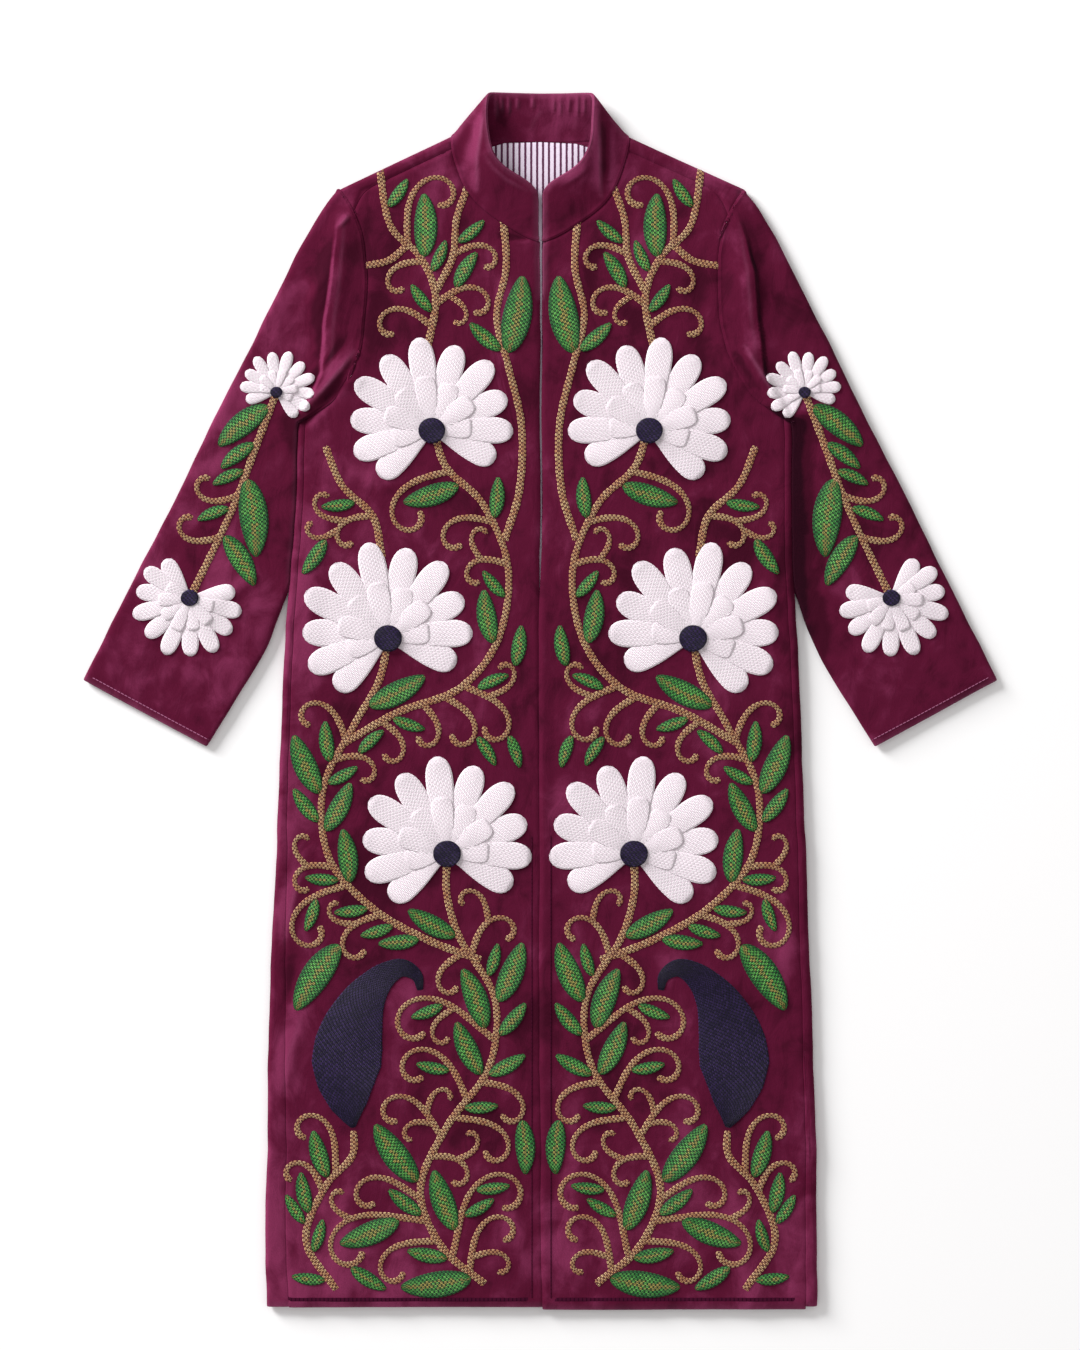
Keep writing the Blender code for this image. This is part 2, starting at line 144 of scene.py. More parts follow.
def remap(tree, value, low, high, to_low=0.0, to_high=1.0):
    sockets = {"Value": value, "From Min": low, "From Max": high, "To Min": to_low, "To Max": to_high}
    return add(tree, "MapRange", sockets, interpolation_type="SMOOTHSTEP").outputs["Result"]


def noise_of(tree, where, scale, detail=3.0, distortion=0.0):
    sockets = {"Vector": where, "Scale": scale, "Detail": detail, "Roughness": 0.6, "Distortion": distortion}
    return add(tree, "TexNoise", sockets).outputs["Fac"]


print("node helpers are ready")

# %% [markdown]
# Colours are noted as a paint program shows them, from 0 to 255, while a shader wants them as amounts of
# light, so a helper turns one into the other. The floor is the first to get a material: a matt paint that is
# nearly white.


# %% Colours, new materials and the floor's paint
def srgb(red, green, blue):
    """A colour as a paint program shows it, 0 to 255, as the shader wants it."""
    parts = [part / 255 for part in (red, green, blue)]
    return (*[p / 12.92 if p <= 0.04045 else ((p + 0.055) / 1.055) ** 2.4 for p in parts], 1.0)


def new_material(name):
    material = bpy.data.materials.new(name)
    material.use_nodes = True
    return material, material.node_tree, material.node_tree.nodes["Principled BSDF"]


FLOOR_WHITE = (0.93, 0.93, 0.935, 1.0)
floor_paint, _, shader = new_material("floor_paint")
shader.inputs["Base Color"].default_value = FLOOR_WHITE
shader.inputs["Roughness"].default_value = 0.9
floor.data.materials.append(floor_paint)
print("the floor is painted")

# %% [markdown]
# ## Velvet
#
# Velvet is a dense pile of short threads. Its colour drifts between dark and light in random brushed patches,
# and light and shade are painted into it from three attributes of the mesh. The first, from -1 to 1, is
# painted light and shade: lighter where the cloth faces the lamp or is lifted, darker where it faces away, in
# valleys and in the body's shadow on the sleeves. The second says how pale crests are painted, a sheen
# highlight with some wear, and edge_mm says how far off the nearest turned edge is, along which a pale rim of
# painted sheen and wear is laid. The hem and the collar are lighter than the rest, and the left sleeve, on
# the lamp's side, is painted lighter. A fine grain stands for the single tufts.

# %% The velvet's colours
# The deepest colour is painted shadow: the tone falls that low almost only where the painted shading is
# darkest.
VELVET_DEEP_PAINTED_SHADE, VELVET_DARK, VELVET_MID = srgb(30, 1, 14), srgb(60, 6, 29), srgb(86, 15, 45)
# The palest colour is painted sheen highlight on crests and edges, with some wear.
VELVET_LIGHT, VELVET_WORN_AND_SHEEN = srgb(124, 44, 80), srgb(168, 96, 132)
VELVET_SHEEN = srgb(216, 110, 160)
# Where the velvet is lighter: along which axis, from where to where in metres, and how much. The hem and
# the collar are lighter, and the left sleeve is painted lighter, as lit more from the lamp's side.
LIGHTER_PLACES = (("Y", -0.38, -0.62, 0.08), ("Y", 0.5, 0.56, 0.1), ("X", -0.21, -0.25, 0.08))
print(len(LIGHTER_PLACES), "places are brushed lighter")


# %% How the pile is toned, with its painted light, shade and sheen
def velvet_tone(tree, spot, patches, uneven):
    """Lightness with painted light and shade, before pale crests and edges: nearly black at 0.2, pale at 0.7.
    """
    tone = calculate(tree, "MULTIPLY_ADD", patches, 0.4, uneven)
    for axis, start, end, gain in LIGHTER_PLACES:
        tone = calculate(tree, "ADD", tone, remap(tree, spot[axis], start, end, 0.0, gain))
    painted_shading = add(tree, "Attribute", attribute_name="painted_shading").outputs["Fac"]
    # painted light and shade from the mesh: lighter towards the lamp, darker in valleys and in the body's
    # shadow
    return calculate(tree, "MULTIPLY_ADD", painted_shading, 0.25, tone)


def velvet_wear_and_sheen(tree, strokes):
    """How far the pile is painted pale on the creases' crests and beside the turned edges: a sheen highlight,
    with some wear.
    """
    rub_and_sheen = add(tree, "Attribute", attribute_name="rub_and_sheen").outputs["Fac"]
    edge = add(tree, "Attribute", attribute_name="edge_mm").outputs["Fac"]
    # a pale rim along the turned edges: painted sheen highlight with some wear
    wide, narrow = remap(tree, edge, 8.0, 0.5, 0.0, 0.14), remap(tree, edge, 2.2, 0.6, 0.0, 0.28)
    worn = calculate(tree, "MAXIMUM", rub_and_sheen, calculate(tree, "MAXIMUM", wide, narrow))
    worn = calculate(tree, "MULTIPLY", worn, calculate(tree, "MULTIPLY_ADD", strokes, 1.2, 0.3))
    return calculate(tree, "MINIMUM", worn, 0.9)


print("brushing and wear are worked out by nodes")

# %% [markdown]
# The finish then is a stack of colours, each laid over the one before where the pile is light enough, and two
# bumps: one as coarse as the strokes of a brush, and one as fine as a tuft.


# %% Weave the velvet
def make_velvet():
    material, tree, shader = new_material("velvet_pile")
    where = add(tree, "TexCoord").outputs["Object"]
    stretched = add(tree, "Mapping", {"Vector": where, "Scale": (1.0, 0.5, 1.0)}).outputs["Vector"]
    spot = add(tree, "SeparateXYZ", {"Vector": where}).outputs
    patches = noise_of(tree, stretched, 9.0, 3.0, 0.5)
    mottles = noise_of(tree, where, 26.0, 5.0, 0.6)
    strokes = noise_of(tree, stretched, 48.0, 6.0, 0.8)
    grain = noise_of(tree, where, 1500.0, 2.0)
    uneven = calculate(tree, "MULTIPLY_ADD", strokes, 0.25, calculate(tree, "MULTIPLY", mottles, 0.35))
    tone = velvet_tone(tree, spot, patches, uneven)
    # the deepest colour is painted shadow, where the painted light and shade is darkest
    colour = mix_colours(tree, remap(tree, tone, 0.16, 0.34), VELVET_DEEP_PAINTED_SHADE, VELVET_DARK)
    colour = mix_colours(tree, remap(tree, tone, 0.38, 0.52), colour, VELVET_MID)
    colour = mix_colours(tree, remap(tree, tone, 0.52, 0.74), colour, VELVET_LIGHT)
    # pale crests and edges: a painted sheen highlight, with some wear
    colour = mix_colours(tree, velvet_wear_and_sheen(tree, strokes), colour, VELVET_WORN_AND_SHEEN)
    colour = mix_colours(tree, remap(tree, grain, 0.35, 0.7, 0.0, 0.3), colour, VELVET_DARK)
    tree.links.new(colour, shader.inputs["Base Color"])
    shader.inputs["Roughness"].default_value = 0.95
    shader.inputs["Specular IOR Level"].default_value = 0.08
    shader.inputs["Sheen Weight"].default_value = 0.2
    shader.inputs["Sheen Roughness"].default_value = 0.4
    shader.inputs["Sheen Tint"].default_value = VELVET_SHEEN
    crushed = add(tree, "Bump", {"Height": strokes, "Strength": 0.4, "Distance": 0.003}).outputs["Normal"]
    tufts = {"Height": grain, "Strength": 0.5, "Distance": 0.0004, "Normal": crushed}
    tree.links.new(add(tree, "Bump", tufts).outputs["Normal"], shader.inputs["Normal"])
    return material


velvet = make_velvet()
print("velvet is woven")

# %% [markdown]
# The lining is a thin plain cotton with dark stripes woven down its length. A stripe is a rule about how far
# across the coat a point lies, so the object's own X, folded into one repeat, is all that the pattern needs.

# %% The striped lining
STRIPE = 6.2 * MM
STRIPE_DARK, LINING_PALE, LINING_SHADE = srgb(84, 24, 66), srgb(244, 232, 246), srgb(214, 196, 220)


def make_lining():
    material, tree, shader = new_material("striped_lining")
    where = add(tree, "TexCoord").outputs["Object"]
    across = add(tree, "SeparateXYZ", {"Vector": where}).outputs["X"]
    wobble = calculate(tree, "MULTIPLY_ADD", noise_of(tree, where, 260.0), 0.0008, across)
    repeat = calculate(tree, "FRACT", calculate(tree, "DIVIDE", wobble, STRIPE))
    from_middle = calculate(tree, "ABSOLUTE", calculate(tree, "SUBTRACT", repeat, 0.5))
    weave = noise_of(tree, where, 900.0, 2.0)
    pale = mix_colours(tree, weave, LINING_PALE, LINING_SHADE)
    striped = mix_colours(tree, remap(tree, from_middle, 0.22, 0.17), pale, STRIPE_DARK)
    tree.links.new(striped, shader.inputs["Base Color"])
    shader.inputs["Roughness"].default_value = 0.75
    bump = add(tree, "Bump", {"Height": weave, "Strength": 0.3, "Distance": 0.0003})
    tree.links.new(bump.outputs["Normal"], shader.inputs["Normal"])
    return material


lining_stripe = make_lining()
print("lining is woven")

# %% [markdown]
# ## How cloth lies
#
# A solid panel is too even to pass for cloth. Real velvet that has just been laid out keeps long shallow
# swells, soft creases where it bends, and edges that wander by a millimetre or two. Each crease is a line on
# the plan, with its height, which is below zero for a valley, its width, and how pale its crest is painted, a
# sheen highlight with some wear.

# %% Creases of the sleeves
# Each row has a crease's points on the plan in mm, its height, its width and how pale its crest is painted,
# as sheen highlight with some wear.
SLEEVE_CREASES = (
    # The left sleeve's head: a long ridge below the tip of the shoulder, and a short one at the tip.
    (((-206, 505), (-208, 470), (-212, 430), (-218, 390), (-221, 345)), 0.6, 8.0, 0.12),
    (((-201, 509), (-212, 497)), 0.7, 3.5, 0.2),
    # The left underarm: a fold that lies over the side of the body.
    (((-196, 366), (-211, 346), (-229, 325), (-248, 308)), 1.1, 5.0, 0.25),
    (((-204, 378), (-218, 360), (-232, 342)), -0.9, 5.0, 0.0),
    (((-208, 330), (-230, 307), (-250, 288)), -1.0, 5.0, 0.0),
    # The right sleeve's head and underarm.
    (((208, 500), (216, 455), (221, 400), (226, 352)), 0.6, 8.0, 0.1),
    (((214, 372), (226, 352), (238, 334), (250, 316)), 0.9, 4.5, 0.3),
    (((206, 362), (220, 342), (238, 320)), -0.9, 4.0, 0.0),
    # Elbows and forearms.
    (((-300, 262), (-336, 244), (-372, 226)), 0.9, 12.0, 0.0),
    (((-290, 140), (-322, 116), (-352, 104)), 0.8, 9.0, 0.0),
    (((-330, 210), (-362, 130), (-398, 40)), -0.9, 16.0, 0.0),
    (((-290, 240), (-318, 160), (-352, 70)), 0.8, 13.0, 0.0),
    (((300, 256), (338, 244), (372, 222)), 0.9, 12.0, 0.0),
    (((292, 128), (324, 106), (360, 96)), 0.9, 9.0, 0.0),
    (((332, 206), (366, 120), (404, 30)), -0.9, 16.0, 0.0),
    (((292, 236), (322, 150), (356, 60)), 0.8, 13.0, 0.0),
)
print(len(SLEEVE_CREASES), "creases on the sleeves")

# %% [markdown]
# Even laid flat, the body keeps the folds that it had when it hung: they run down from the neck and the
# shoulders, across the waist, and in long lines from the hips to the hem.

# %% Creases of the body
BODY_CREASES = (
    # Under the neck and down from the shoulders.
    (((-92, 530), (-108, 470), (-112, 400)), 0.9, 13.0, 0.0),
    (((-150, 500), (-160, 430), (-166, 350)), -0.8, 15.0, 0.0),
    (((-42, 489), (-28, 486), (-15, 484)), -0.9, 2.0, 0.0),
    (((-44, 470), (-34, 400), (-36, 300)), 0.7, 12.0, 0.0),
    (((98, 530), (112, 470), (118, 400)), 0.9, 13.0, 0.0),
    (((158, 500), (166, 430), (168, 360)), -0.8, 14.0, 0.0),
    (((38, 470), (32, 400), (40, 290)), 0.7, 12.0, 0.0),
    (((76, 486), (60, 462), (52, 430)), -0.8, 8.0, 0.0),
    # Waist and hips.
    (((-206, 240), (-170, 226), (-120, 232)), 0.7, 9.0, 0.0),
    (((-236, 210), (-240, 100), (-246, -40)), 0.9, 13.0, 0.0),
    (((200, 226), (160, 214), (118, 224)), 0.7, 9.0, 0.0),
    (((238, 210), (242, 90), (250, -60)), 0.9, 13.0, 0.0),
    (((-60, 130), (-52, 20), (-40, -120)), 0.6, 16.0, 0.0),
    (((58, 120), (50, 0), (44, -130)), 0.6, 16.0, 0.0),
    # The skirt: ripples beside the left edge, long lines from hip to hem.
    (((-248, -168), (-262, -214), (-268, -256)), 1.5, 9.0, 0.12),
    (((-252, -262), (-262, -300), (-270, -336)), -1.2, 9.0, 0.0),
    (((-250, -330), (-264, -372), (-268, -410)), 1.4, 9.0, 0.1),
    (((-128, -210), (-140, -360), (-150, -540)), 0.9, 20.0, 0.0),
    (((-36, -260), (-30, -420), (-34, -600)), 0.8, 13.0, 0.0),
    (((-196, -470), (-206, -550), (-214, -636)), 1.0, 15.0, 0.0),
    (((252, -180), (262, -240), (262, -310)), 1.1, 11.0, 0.0),
    (((136, -190), (150, -350), (160, -540)), 0.9, 20.0, 0.0),
    (((44, -250), (38, -420), (34, -600)), 0.8, 13.0, 0.0),
    (((206, -480), (216, -560), (222, -636)), 1.0, 15.0, 0.0),
)
print(len(BODY_CREASES), "creases on the body")

# %% [markdown]
# A stand collar that lies flat buckles where it turns forward, and small gathers draw in its top edge. Beside
# each armhole the cloth has a fold with one side only: it drops off a line and rises again slowly.

# %% Creases of the collar, gathers and one-sided folds
COLLAR_CREASES = (
    # Where the stand of the collar turns forward on each side, and the soft line along its front edges.
    (((-57, 624), (-61, 600), (-66, 568), (-66, 536)), 0.9, 6.0, 0.2),
    (((-70, 606), (-78, 584), (-84, 556)), -0.9, 8.0, 0.0),
    (((61, 624), (62, 590), (63, 560), (64, 530)), 1.0, 4.5, 0.22),
    (((70, 610), (71, 580), (72, 545)), -1.3, 6.0, 0.0),
    (((-58, 572), (-48, 557), (-34, 545), (-14, 535)), 0.4, 3.0, 0.12),
    (((50, 560), (40, 550), (24, 541)), 0.4, 3.4, 0.06),
    (((-40, 596), (-36, 610), (-30, 622)), -0.8, 9.0, 0.0),
    (((-10, 600), (-4, 612), (2, 620)), 0.5, 9.0, 0.1),
    (((34, 598), (38, 608), (40, 618)), 0.4, 7.0, 0.06),
)
# Each gather has its x, its top and its length in mm.
GATHERS = ((-46, 634, 22), (-41, 634, 15), (-33, 634, 18), (-24, 633, 12), (-8, 633, 11), (14, 633, 14))
GATHERS += ((21, 633, 19), (30, 633, 15), (39, 634, 21), (46, 634, 17))
# a gather's crest is painted pale too, as sheen highlight with some wear
GATHER_HEIGHT, GATHER_WIDTH, GATHER_RUB_AND_SHEEN = 0.5, 2.2, 0.12
gather_creases = [
    (((x, top), (x + 1.0, top - length)), GATHER_HEIGHT, GATHER_WIDTH, GATHER_RUB_AND_SHEEN)
    for x, top, length in GATHERS
]
# Each fold has its points, the side it drops on, 1 for the east and -1 for the west, its drop and its fade.
LEFT_FOLD = ((-212, 520), (-216, 472), (-221, 430), (-227, 392), (-230, 344), (-239, 322), (-256, 300))
RIGHT_FOLD = ((203, 522), (217, 484), (226, 450), (231, 390), (236, 342), (250, 318), (266, 292))
FOLDS = ((LEFT_FOLD, -1, 2.3, 15.0), (RIGHT_FOLD, 1, 2.8, 15.0))
CREASES = [*SLEEVE_CREASES, *BODY_CREASES, *COLLAR_CREASES, *gather_creases]
print(len(CREASES), "creases and", len(FOLDS), "folds in all")

# %% [markdown]
# The rules below work on many points at once, so the points are held in arrays. What every crease asks is how
# far a point lies from a line, and how far along the line that is. Only the points in a box around the line
# are asked.


# %% Measure from a line
def ease(value, start, end):
    """Goes smoothly from 0 at start to 1 at end."""
    share = np.clip((value - start) / (end - start), 0.0, 1.0)
    return share * share * (3 - 2 * share)


def near_line(plan, points):
    """How far each place is from a line, how far along it, 0 to 1, and on which side of it, 1 or -1."""
    corners = np.array(points, float)
    best, share, side = np.full(len(plan), 1e9), np.zeros(len(plan)), np.zeros(len(plan))
    for k, (start, end) in enumerate(zip(corners, corners[1:])):
        run = end - start
        along = np.clip((plan - start) @ run / (run @ run), 0.0, 1.0)
        offset = plan - start
        gap = np.linalg.norm(offset - along[:, None] * run, axis=1)
        nearer = gap < best
        best[nearer] = gap[nearer]
        share[nearer] = (k + along[nearer]) / (len(corners) - 1)
        side[nearer] = np.sign(run[0] * offset[nearer, 1] - run[1] * offset[nearer, 0])
    return best, share, side


def inside_box(plan, points, before, beyond):
    """The places inside the box around a line, widened by so many mm on its low and its high sides."""
    low, high = np.min(points, axis=0) - before, np.max(points, axis=0) + beyond
    return np.flatnonzero(np.all((plan > low) & (plan < high), axis=1))


print("halfway, an ease has reached", ease(0.5, 0.0, 1.0))

# %% [markdown]
# Slow swells come from a few sine waves of uneven pitch and heading, so they never quite repeat.


# %% Slow waves
def waves(x, y, seed, length):
    """Slow uneven waves between about -1 and 1: five sines, each with its own heading, pitch and start."""
    total = np.zeros_like(x)
    for k in range(5):
        turn = seed * 1.7 + k * 2.4
        pitch = length * (0.62 + 0.23 * k)
        total += np.sin((x * math.cos(turn) + y * math.sin(turn)) * math.tau / pitch + seed * 3.1 + k * k)
    return total / 3.2


print("five places along a swell:", waves(np.linspace(0.0, 150.0, 5), np.zeros(5), 1.0, 150.0).round(2))

# %% [markdown]
# The lift of the cloth is the sum of such swells, the creases and the two folds. The hem, which nothing
# holds, has ripples of its own. A crease rises like a bell across its line and tapers towards its ends.

# %% Swells, creases and folds as lift
SWELLS = ((0.5, 1.0, 150.0), (0.28, 4.0, 62.0), (0.12, 9.0, 30.0))  # the height, seed and length of each
HEM_TOP, HEM_DEPTH, HEM_RIPPLE = -560.0, 60.0, 0.4
CREST_WIDTH = 2.2
FOLD_BEFORE, FOLD_BEYOND = 30.0, 60.0
DEEPEST = -2.8


def relief(x, y):
    """How far swells, creases and folds lift the cloth at x, y in mm, and how pale the creases paint their
    crests.
    """
    plan = np.stack([x, y], axis=1)
    hem = np.clip((HEM_TOP - y) / HEM_DEPTH, 0.0, 1.0)
    lift = sum(height * waves(x, y, seed, length) for height, seed, length in SWELLS)
    lift += HEM_RIPPLE * hem * waves(x, 0.15 * y, 5.0, 46.0)
    rub_and_sheen = np.zeros(len(x))
    for points, height, width, pale in CREASES:
        near = inside_box(plan, points, 3 * width, 3 * width)
        if len(near):
            gap, share, _ = near_line(plan[near], points)
            taper = np.sin(np.pi * np.clip(share, 0.03, 0.97)) ** 0.5
            lift[near] += height * taper * np.exp(-((gap / width) ** 2))
            # crests painted pale: a sheen highlight with some wear
            rub_and_sheen[near] = np.maximum(rub_and_sheen[near], pale * taper * np.exp(-((gap / CREST_WIDTH) ** 2)))
    for points, lower_side, drop, fade in FOLDS:
        near = inside_box(plan, points, FOLD_BEFORE, FOLD_BEYOND)
        if len(near):
            gap, share, side = near_line(plan[near], points)
            beyond = gap * side * lower_side
            taper = ease(share, 0.0, 0.35) * (1.0 - ease(share, 0.9, 1.0))
            lift[near] -= drop * taper * ease(beyond, -2.0, 3.0) * np.exp(-np.maximum(beyond, 0.0) / fade)
    return np.maximum(lift, DEEPEST), rub_and_sheen


print("the chest is lifted by", relief(np.array([100.0]), np.array([400.0]))[0], "mm")

# %% [markdown]
# A point of the mesh is laid in one go. Its lift counts on the upper layer only, its place on the plan
# wanders by about a millimetre, and its slope and lift set the light and shade painted on it: lighter where
# the cloth faces the lamp at the upper left or is lifted, darker where it faces away or lies in a valley.

# %% Lay points as cloth lies
ASIDE = 0.8
PAINTED_SHADING_BY_SLOPE, PAINTED_SHADING_BY_LIFT = 2.6, 0.34
LOWER_LAYER, LAYER_FADE = 3.2, 3.4


def lay(points):
    """Moves points, in mm, as laid cloth lies, and gives their painted light and shade and their painted pale
    crests. The lower layer stays flat.
    """
    x, y, z = points.T.copy()
    lift, rub_and_sheen = relief(x, y)
    slope_x, slope_y = relief(x + ASIDE, y)[0] - lift, relief(x, y + ASIDE)[0] - lift
    # painted light and shade: slopes facing the lamp at the upper left and lifted cloth lighter, valleys
    # darker
    painted_shading = np.clip(PAINTED_SHADING_BY_SLOPE * (slope_x - slope_y) / ASIDE + PAINTED_SHADING_BY_LIFT * lift, -1.3, 0.7)
    upper = np.clip((z - LOWER_LAYER) / LAYER_FADE, 0.0, 1.0)
    wander_x = 0.8 * waves(0 * x + 11.0, y, 2.0, 120.0) + 0.4 * waves(0 * x, y, 6.0, 40.0)
    wander_y = 0.6 * waves(x, 0 * y + 7.0, 3.0, 140.0)
    return np.stack([x + wander_x, y + wander_y, z + upper * lift], axis=1), painted_shading, rub_and_sheen


print("a point at the hem moves by", lay(np.array([[100.0, -600.0, 9.0]]))[0][0] - [100, -600, 9])

# %% [markdown]
# ## The panels
#
# Each panel starts as a copy of its solid. The copy is loose triangles, so its corners are merged and its
# triangles paired into squares first. Its hard edges get a small round, as turned and pressed velvet has, and
# a Subdivision Surface makes it fine enough to carry the creases. The side that is looked at is then cut once
# more.

# %% Read a mesh and refine its upper side
UPPER_SIDE = 5.6 * MM


def read_points(mesh, what="co"):
    """All points of a mesh, or their normals, as an array."""
    values = np.empty(len(mesh.vertices) * 3, np.float32)
    if what == "co":
        mesh.vertices.foreach_get("co", values)
    else:
        mesh.vertex_normals.foreach_get("vector", values)
    return values.reshape(-1, 3).astype(float)


def add_attribute(mesh, name, values):
    mesh.attributes.new(name, "FLOAT", "POINT").data.foreach_set("value", values.astype(np.float32))


def refine_top(mesh):
    """Cuts the squares of the side that is looked at into four, so that it can carry fine creases."""
    bm = bmesh.new()
    bm.from_mesh(mesh)
    bm.normal_update()
    top = [face for face in bm.faces if face.normal.z > 0.3 and face.calc_center_median().z > UPPER_SIDE]
    edges = list({edge for face in top for edge in face.edges})
    bmesh.ops.subdivide_edges(bm, edges=edges, cuts=1, use_grid_fill=True)
    for face in bm.faces:
        face.smooth = True
    bm.to_mesh(mesh)
    bm.free()


print("the upper side is over", round(UPPER_SIDE / MM, 1), "mm above the floor")

# %% [markdown]
# A bevel gives the hard edges their round. Points along those edges are noted before it, because they tell
# later where the seams lie.

# %% Round the hard edges
EDGE_ROUND = 0.9 * MM
HARD_ANGLE = math.radians(50)


def rounded_copy(node_name):
    """A copy of a solid's mesh with rounded edges, and points along those edges in mm."""
    bm = bmesh.new()
    bm.from_mesh(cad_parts[node_name].data)
    bmesh.ops.remove_doubles(bm, verts=bm.verts[:], dist=0.02 * MM)
    flat, square = math.radians(12), math.radians(70)
    bmesh.ops.join_triangles(bm, faces=bm.faces[:], angle_face_threshold=flat, angle_shape_threshold=square)
    hard = [edge for edge in bm.edges if edge.calc_face_angle(0.0) > HARD_ANGLE]
    line = []
    for edge in hard:
        start, end = edge.verts[0].co / MM, edge.verts[1].co / MM
        line.extend(start.lerp(end, t) for t in np.linspace(0, 1, max(2, int((end - start).length))))
    bmesh.ops.bevel(
        bm,
        geom=hard,
        offset=EDGE_ROUND,
        offset_type="OFFSET",
        segments=2,
        profile=0.5,
        affect="EDGES",
        material=-1,
        clamp_overlap=False,
    )
    for face in bm.faces:
        face.smooth = True
    mesh = bpy.data.meshes.new("cloth_" + node_name)
    bm.to_mesh(mesh)
    bm.free()
    return mesh, line


print("edges sharper than", round(math.degrees(HARD_ANGLE)), "degrees are rounded")

# %% A fine copy of a solid
FINENESS = 2  # how often the Subdivision Surface cuts each square into four


def subdivided_copy(node_name):
    """A fine panel made from the rounded copy, and points along its edges in mm."""
    mesh, line = rounded_copy(node_name)
    panel = bpy.data.objects.new("cloth_" + node_name, mesh)
    bpy.context.scene.collection.objects.link(panel)
    finer = panel.modifiers.new("finer", "SUBSURF")
    finer.levels = finer.render_levels = FINENESS
    graph = bpy.context.evaluated_depsgraph_get()
    panel.data = bpy.data.meshes.new_from_object(panel.evaluated_get(graph))
    panel.modifiers.clear()
    panel.data.name = panel.name
    refine_top(panel.data)
    return panel, line


print("copies are cut", FINENESS, "times, and once more on top")

# %% [markdown]
# A seam is where the edge of one solid lies beside another's, and the other edges are turned ones. Near a
# seam the cloth is pulled down into a shallow valley. At a turned edge it rolls over and is rubbed pale, so
# every point needs its distance to both.

# %% Tell seams from turned edges
SEAM_WIDTH = 2.3


def distance_to(spots):
    """A function that gives how far each point is from the nearest of the spots."""
    if not spots:
        return lambda points: np.full(len(points), 1e3)
    tree = KDTree(len(spots))
    for k, spot in enumerate(spots):
        tree.insert(spot, k)
    tree.balance()
    return lambda points: np.array([tree.find(point)[2] for point in points])


def measure_edges(node_name, copies):
    """Functions for how far a point is from the panel's seams, its turned edges and its neighbours."""
    line = copies[node_name][1]
    to_neighbour = distance_to([spot for name in copies if name != node_name for spot in copies[name][1]])
    sewn = to_neighbour(line) < SEAM_WIDTH
    print(node_name, "is sewn along", round(100 * np.mean(sewn)), "% of its edges")
    to_seam = distance_to([spot for spot, is_sewn in zip(line, sewn) if is_sewn])
    to_edge = distance_to([spot for spot, is_sewn in zip(line, sewn) if not is_sewn])
    return to_seam, to_edge, to_neighbour


print("edges closer than", SEAM_WIDTH, "mm are sewn together")

# %% [markdown]
# The sewn edges of the sleeves and the collar reach a little over the fronts, so a seam is one clean line.
# Below the underarm it is the other way round: the body's side lies over the sleeve, which is tucked down
# beside it, and the body's shadow is painted on it as darker velvet. The painted pale rim of the edges is
# kept out of that painted shadow, so the tucked cloth counts as far from an edge.

# %% Lay one panel
SEAM_DEPTH, SEAM_REACH = 1.0, 2.6
EDGE_DEPTH, EDGE_REACH = 1.3, 4.0
LET_OUT = 0.5
OVERLAP_RISE = 0.8
# Each pair is where something starts and where it is complete: across the coat, or down it, so along minus y.
BELOW_ARM = (-312.0, -284.0)
BODY_SIDE_ACROSS, BODY_SIDE_DOWN, BODY_SIDE_FLATTER = (236.0, 244.0), (-300.0, -280.0), 0.7
# How far the tuck reaches, how dark the body's painted shadow on it is, and how far it keeps the painted pale
# rim away
TUCK_REACH, TUCK_PAINTED_SHADOW, TUCK_FROM_EDGE = 11.0, 6.9, 40.0


def cloth_panel(node_name, copies, material, slot, settle=None, over=0.0, tuck=0.0):
    """One panel of cloth. settle moves its points by a rule of its own before the cloth is laid. Its sewn
    edges reach over the neighbour by over mm, and below the underarm they are tucked down by tuck mm and
    painted darker, as in the body's shadow."""
    panel = copies[node_name][0]
    to_seam, to_edge, to_neighbour = measure_edges(node_name, copies)
    points, facing = read_points(panel.data) / MM, read_points(panel.data, "normal")
    beside_seam, edge_gap = np.exp(-((to_seam(points) / SEAM_REACH) ** 2)), to_edge(points)
    sideways = np.clip((0.7 - np.abs(facing[:, 2])) / 0.4, 0.0, 1.0)
    points[:, :2] += ((LET_OUT + over * beside_seam) * sideways)[:, None] * facing[:, :2]
    if settle:
        points = settle(points)
    upper = np.clip((points[:, 2] - 4.0) / 3.0, 0.0, 1.0)
    tucked = tuck * ease(-points[:, 1], *BELOW_ARM) * np.exp(-to_neighbour(points) / TUCK_REACH)
    # the tucked cloth counts as far from an edge, so the painted pale rim stays out of the painted shadow
    edge_gap += TUCK_FROM_EDGE * np.minimum(tucked, 0.5)
    points, painted_shading, rub_and_sheen = lay(points)
    at_side = ease(np.abs(points[:, 0]), *BODY_SIDE_ACROSS) * ease(-points[:, 1], *BODY_SIDE_DOWN)
    depth = SEAM_DEPTH * (1.0 - BODY_SIDE_FLATTER * at_side) if over == 0.0 else -OVERLAP_RISE
    rolled = EDGE_DEPTH * np.exp(-((edge_gap / EDGE_REACH) ** 2))
    points[:, 2] -= upper * (depth * beside_seam + rolled + tucked)
    panel.data.vertices.foreach_set("co", (points * MM).astype(np.float32).ravel())
    # painted light and shade, darkened further by the body's painted shadow on the tucked sleeve
    add_attribute(panel.data, "painted_shading", painted_shading - TUCK_PAINTED_SHADOW * tucked)
    add_attribute(panel.data, "rub_and_sheen", rub_and_sheen)
    add_attribute(panel.data, "edge_mm", edge_gap)
    panel.data.update()
    panel.data.materials.append(material)
    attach(panel, "root")
    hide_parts(node_name)
    print(panel.name, "has", len(panel.data.polygons), "faces")
    return panel


print("ready to lay the cloth")

